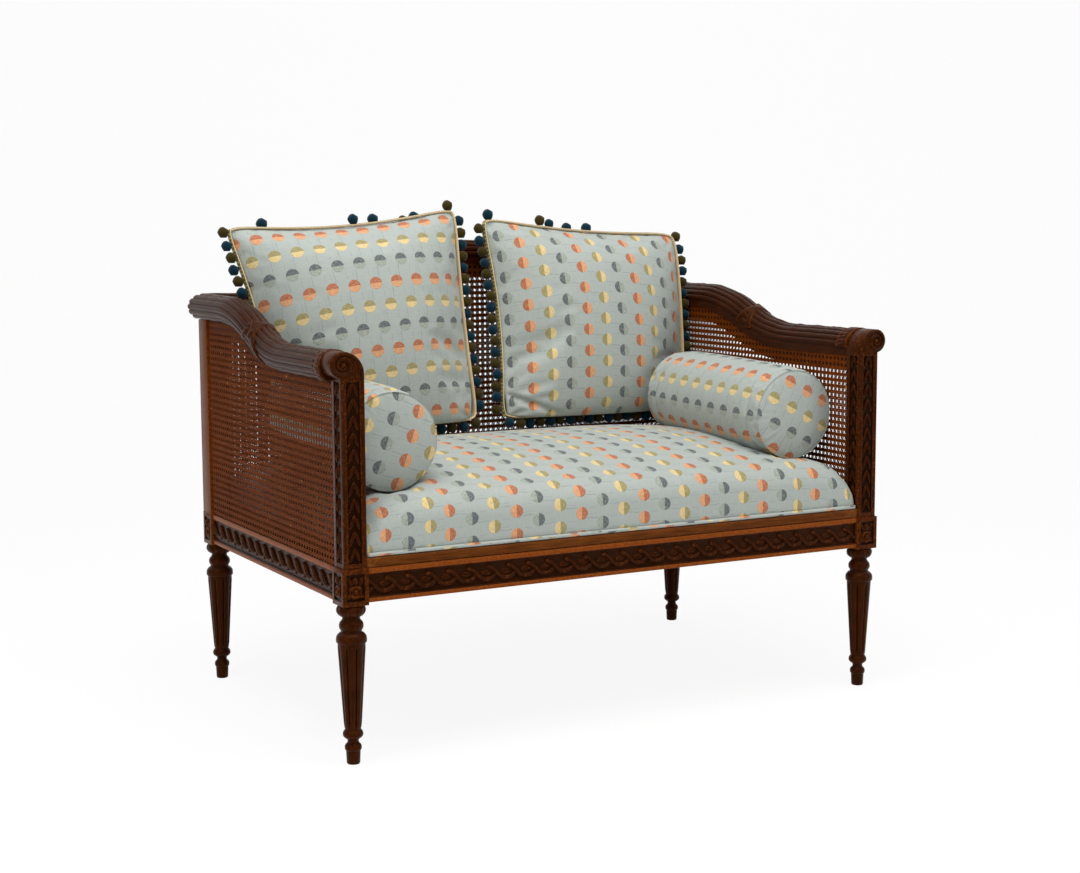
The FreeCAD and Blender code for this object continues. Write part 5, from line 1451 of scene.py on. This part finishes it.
feed(tree, shader, {"Base Color": colour, "Roughness": 0.5, "Sheen Weight": 0.2,
                    "Normal": add(tree, "Bump", {"Strength": 0.7, "Distance": 0.001, "Height": strands})})
print("silk finish", len(tree.nodes), "nodes")

# %% A pompom and its place along the seam
POMPOM_R, POMPOM_OUT, POMPOM_PITCH, POMPOM_BEHIND = 11.0, 13.5, 23.6, 34
ball = bmesh.new()
bmesh.ops.create_icosphere(ball, subdivisions=2, radius=POMPOM_R * MM)
rng = np.random.default_rng(8)
for vertex in ball.verts:
    vertex.co *= 1 + 0.05 * rng.standard_normal()
ball_mesh = bpy.data.meshes.new("pompom_ball")
ball.to_mesh(ball_mesh)
ball.free()
smoothed(ball_mesh)
pompom = bpy.data.objects.new("pompom_ball", ball_mesh)

def seam_ring(cut):
    """The closed seam in its own plane, the way out of the pillow and the length so far at each point."""
    turns = -np.cos(np.linspace(0, math.pi, 61)[:-1])
    ring = [cut.seam_spot(t, -1) for t in turns] + [cut.seam_spot(1, t) for t in turns]
    ring += [cut.seam_spot(-t, 1) for t in turns] + [cut.seam_spot(-1, -t) for t in turns]
    way = np.roll(ring, -2, 0) - np.roll(ring, 2, 0)
    way /= np.linalg.norm(way, axis=1)[:, None]
    ring, outward = (np.vstack([a, a[:1]]) for a in (np.array(ring), np.c_[way[:, 1], -way[:, 0]]))
    return ring, outward, along_it(ring)

def braid(body, cut):
    ring, outward, run = seam_ring(cut)
    angles = np.linspace(-math.pi, math.pi, 17)
    spots = np.array([[cut.placed(flat + way * (1.6 + 2.8 * math.cos(a)), 9.0 * math.sin(a)) for a in angles]
                      for flat, way in zip(ring, outward)])
    measure = np.stack(np.broadcast_arrays(run[:, None] / DOT_STEP, angles[None] / (2 * math.pi)), -1)
    upholstered(sewn(body + "_braid", [(spots, measure)]), silk, body, (), "pompom_braid")
    print(body, "seam is", round(run[-1]), "mm long")

def hung(cut, standing):
    """Where the balls hang: beside the seam, or behind it on the upper side, save those left standing."""
    ring, outward, run = seam_ring(cut)
    count = round(run[-1] / POMPOM_PITCH / 2) * 2
    marks = (np.arange(count) + 0.5) * run[-1] / count
    flats, ways = (np.stack([np.interp(marks, run, a[:, i]) for i in (0, 1)], 1) for a in (ring, outward))
    # The seam's third side of sixty points is the upper one, run from right to left
    step = np.interp(marks, run, np.arange(len(ring)))
    across = np.cos(np.clip((step - 120) / 60, 0, 1) * math.pi)
    fallen = ((step > 120) & (step < 180) & (np.abs(across) < 0.9)).astype(float)
    for spot, share in standing:
        fallen[np.argmin(np.abs(across - spot))] = share
    rng = np.random.default_rng(4)
    out = POMPOM_OUT - fallen * (POMPOM_OUT + 13) + rng.uniform(-1, 1.5, count)
    depth = POMPOM_BEHIND * fallen + rng.uniform(-4, 4, count) * (1 - fallen)
    return np.array([cut.placed(f + w * o, d) for f, w, o, d in zip(flats, ways, out, depth)])

# %% Trimming both pillows
# Where along the upper side a ball was left, and how far it has fallen back
left_standing = ((-0.69, 0.15), (0.09, 0.0), (0.26, 0.1), (0.55, 0.55), (0.64, 0.45))
right_standing = ((-0.42, 0.0), (-0.28, 0.1), (-0.16, 0.2), (0.1, 0.1), (0.25, 0.65), (0.45, 0.65), (0.85, 0.7))
for side, cut, standing in (("left", left_cut, left_standing), ("right", right_cut, right_standing)):
    body = side + "_pillow"
    braid(body, cut)
    places = hung(cut, standing)
    for first, (wool_name, material) in enumerate(WOOLS):
        lines = [[p, p + np.array([0, 0, 1.0])] for p in places[first::2]]
        balls = row(f"{side}_pompoms_{wool_name}", lines, [(1, 0, 0)] * len(lines), pompom, 50, material, scale=0.97,
                    wobble=0.07, seed=11 + first, body=body, slot="pompom_braid", shade=False)
        if first == 0:
            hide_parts(body + "_trim")

# %% [markdown]
# ## Bolsters
# A round bolster lies along each arm. Its case is a tube of cloth with a round cap sewn into each
# end, and the tube is gathered into small pleats where it meets the cap. The rings start round, the
# pleats are waves that die away from the seam, and the stuffing then pumps the tube between seams.

# %% Bolster cases
AROUND = 144
round_turn = np.linspace(0, 2 * math.pi, AROUND + 1)

def bolster_ring(x, radius, along):
    """One ring of the case, tilted about its front seam."""
    up = radius * np.sin(round_turn)
    return np.c_[x + radius * np.cos(round_turn), BOLSTER_SEAM + along * math.cos(TILT) - up * math.sin(TILT),
                 BOLSTER_Z + along * math.sin(TILT) + up * math.cos(TILT)]

def bolster(body, x, phase, gathered_at, tube_start, cap_turn, cap_start):
    rng = np.random.default_rng(phase)
    pleat = np.zeros(AROUND + 1)
    for turns in (17, 23, 31, 41):
        pleat += rng.uniform(0.3, 0.6) * np.sin(turns * round_turn + rng.uniform(0, 6))
    pleat *= 0.35 + 0.65 * np.clip(np.cos(round_turn - math.radians(gathered_at)), 0, 1)
    alongs = np.r_[np.linspace(0, 40, 14), np.linspace(50, BOLSTER_LONG - 50, 34),
                   np.linspace(BOLSTER_LONG - 40, BOLSTER_LONG, 14)]
    rings = []
    for along in alongs:
        near = min(along, BOLSTER_LONG - along)
        full = BOLSTER_END + (BOLSTER_R - BOLSTER_END) * math.sin(min(near / 70, 1) * math.pi / 2)
        crease = pleat * 1.5 * math.exp(-near / 16) * min(1, near / 3)
        rings.append(bolster_ring(x, np.minimum(full + crease - 1.2 * math.exp(-near / 16), BOLSTER_R), along))
    # The left case lies with its cloth the other way up
    round_it = (round_turn - math.pi / 2) * BOLSTER_R
    measure = -np.sign(x) * np.stack(np.broadcast_arrays(alongs[:, None], round_it[None]), -1) / DOT_STEP
    grids = [(np.array(rings), measure + np.array(tube_start))]
    c, s = math.cos(math.radians(cap_turn)), math.sin(math.radians(cap_turn))
    for end, outward in ((0, -1), (BOLSTER_LONG, 1)):
        caps, marks = [], []
        # The cap dips at its seam, domes up within it and closes on one point
        for radius in (BOLSTER_END, BOLSTER_END - 2.0, *np.linspace(BOLSTER_END - 5, 3, 26), 0.0):
            rise = BOLSTER_DOME * (1 - (radius / BOLSTER_END) ** 2.6)
            rise += 1.3 * pleat * math.exp(-(BOLSTER_END - radius) / 16) * (0 < radius < BOLSTER_END - 2)
            caps.append(bolster_ring(x, radius, end + outward * (-0.6 if radius == BOLSTER_END - 2 else rise)))
            flat = radius * np.c_[np.cos(round_turn), np.sin(round_turn)]
            marks.append(np.c_[flat @ (c, s), flat @ (-s, c)] / DOT_STEP)
        grids.append((np.array(caps), np.array(marks) + np.array(cap_start)))
    obj = sewn(body + "_stuffed", grids)
    spots = laid_out(obj)[0] / MM
    back = spots[:, 1] - BOLSTER_SEAM + math.tan(TILT) * (spots[:, 2] - BOLSTER_Z)
    stuffed(obj, np.where((back < 6) | (back > BOLSTER_LONG - 6), 1.0, 0.0), 2.5)
    upholstered(obj, bolster_cloth, body, [body], "bolster_fabric")

bolster("left_bolster", -BOLSTER_X, 5, 120, (0.5, -0.35), 72, (0.06, 1.2))
bolster("right_bolster", BOLSTER_X, 9, 225, (0.5, 4.75), -27.5, (0.83, 2.32))

# %% [markdown]
# ## Under the seat
# Turned over, the settee shows a black dust cloth tacked to the seat frame, and inside it webbing
# straps woven over and under and a sheet of hessian that carries the stuffing. The timbers keep their
# modelled shapes and only get a raw wood finish; the cloths are thin sheets that sag a little.

# %% Under cloths
def plain_cloth(name, dark, light, threads_mm):
    """A coarse plain weave: warp and weft as two sine waves of the thread's real spacing."""
    material, tree, shader, place = finish(name)
    parts = add(tree, "SeparateXYZ", place, out=None)
    warp, weft = (add(tree, "Math.SINE", add(tree, "Math.MULTIPLY", parts[axis], 2 * math.pi * per_metre(threads_mm)))
                  for axis in (0, 1))
    height = add(tree, "Math.MULTIPLY", warp, weft)
    blotch = add(tree, "TexNoise", {"Vector": place, "Scale": per_metre(25), "Detail": 4.0})
    shade = add(tree, "Math.ADD", add(tree, "Math.MULTIPLY", height, 0.3), blotch)
    # Raw jute and cotton are dull, and their colour goes from thread to gap
    colour = add(tree, "Mix", {0: shade, 6: dark, 7: light}, out=2, data_type="RGBA")
    feed(tree, shader, {"Base Color": colour, "Roughness": 0.9, "Specular IOR Level": 0.15,
                        "Normal": add(tree, "Bump", {"Strength": 0.5, "Distance": 0.0005, "Height": height})})
    return material

def under_sheet(name, node_name, material, slot, sag, up):
    """A thin cloth over the node's box, level with its top or its underside, sagging in the middle."""
    low, high = boxes[node_name]
    wide, long = 60, 40
    level = high[2] if up else low[2]
    points = [(x, y, level - sag * (1 - (2 * i / wide - 1) ** 2) * (1 - (2 * j / long - 1) ** 2))
              for i, x in enumerate(np.linspace(low[0], high[0], wide + 1))
              for j, y in enumerate(np.linspace(low[1], high[1], long + 1))]
    faces = [(i * (long + 1) + j, (i + 1) * (long + 1) + j, (i + 1) * (long + 1) + j + 1, i * (long + 1) + j + 1)
             for i in range(wide) for j in range(long)]
    obj = set_out(name, mesh_of(name, points, faces))
    thick = obj.modifiers.new("cloth thickness", "SOLIDIFY")
    thick.thickness, thick.offset = 0.4 * MM, -1 if up else 1
    fixed_mesh(obj)
    upholstered(obj, material, "frame", [node_name], slot)

hessian = plain_cloth("jute hessian", "#7A5F38", "#B5945F", 2.4)
dust = plain_cloth("black dust cloth", "#17150F", "#2C2923", 1.6)
jute = plain_cloth("jute webbing", "#8A734A", "#C6AE7E", 3.0)
under_sheet("seat_hessian_sheet", "seat_hessian", hessian, "hessian", 0.0, True)
under_sheet("dust_cover_sheet", "dust_cover", dust, "dust_cloth", 3.0, False)

# %% Webbing
web_low, web_high = boxes["seat_webbing"]
WEB_WIDE, WEB_THICK, WEB_WAVE = 52, 1.4, 0.8
web = Work()
columns = np.linspace(web_low[0] + 65, web_high[0] - 65, 9)
lanes = np.linspace(web_low[1] + 55, web_high[1] - 55, 5)
middle_up = (web_low[2] + web_high[2]) / 2

def strap(at, over, crossings, axis):
    """One strap along an axis that goes over the first crossing or under it, and so on in turn."""
    runs = np.linspace(web_low[axis], web_high[axis], 73)
    lift = np.zeros(len(runs))
    for index, cross in enumerate(crossings):
        lift += (-1) ** (index + over) * WEB_WAVE * np.exp(-((runs - cross) / 26) ** 2)
    rows = []
    for run, up in zip(runs, np.clip(lift, -0.85, 0.85)):
        ring = [(at + a * WEB_WIDE / 2, run, middle_up + up + b * WEB_THICK / 2)
                for a, b in ((-1, -1), (1, -1), (1, 1), (-1, 1))]
        rows.append(ring if axis == 1 else [(along, beside, z) for beside, along, z in ring])
    web.skin(rows)

for number, at in enumerate(columns):
    strap(at, number, lanes, 1)
for number, at in enumerate(lanes):
    strap(at, number + 1, columns, 0)
wooden("seat_webbing_woven", web, jute, ["seat_webbing"], edge=0, slot="webbing")

# %% Raw timbers
for name in ("seat_frame_front", "seat_frame_rear", "seat_frame_left", "seat_frame_right", "seat_frame_middle",
             "seat_cleats", "corner_blocks"):
    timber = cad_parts[name]
    for slot_at in timber.material_slots:
        slot_at.link = "OBJECT"
        slot_at.material = plain
print("timbers finished")
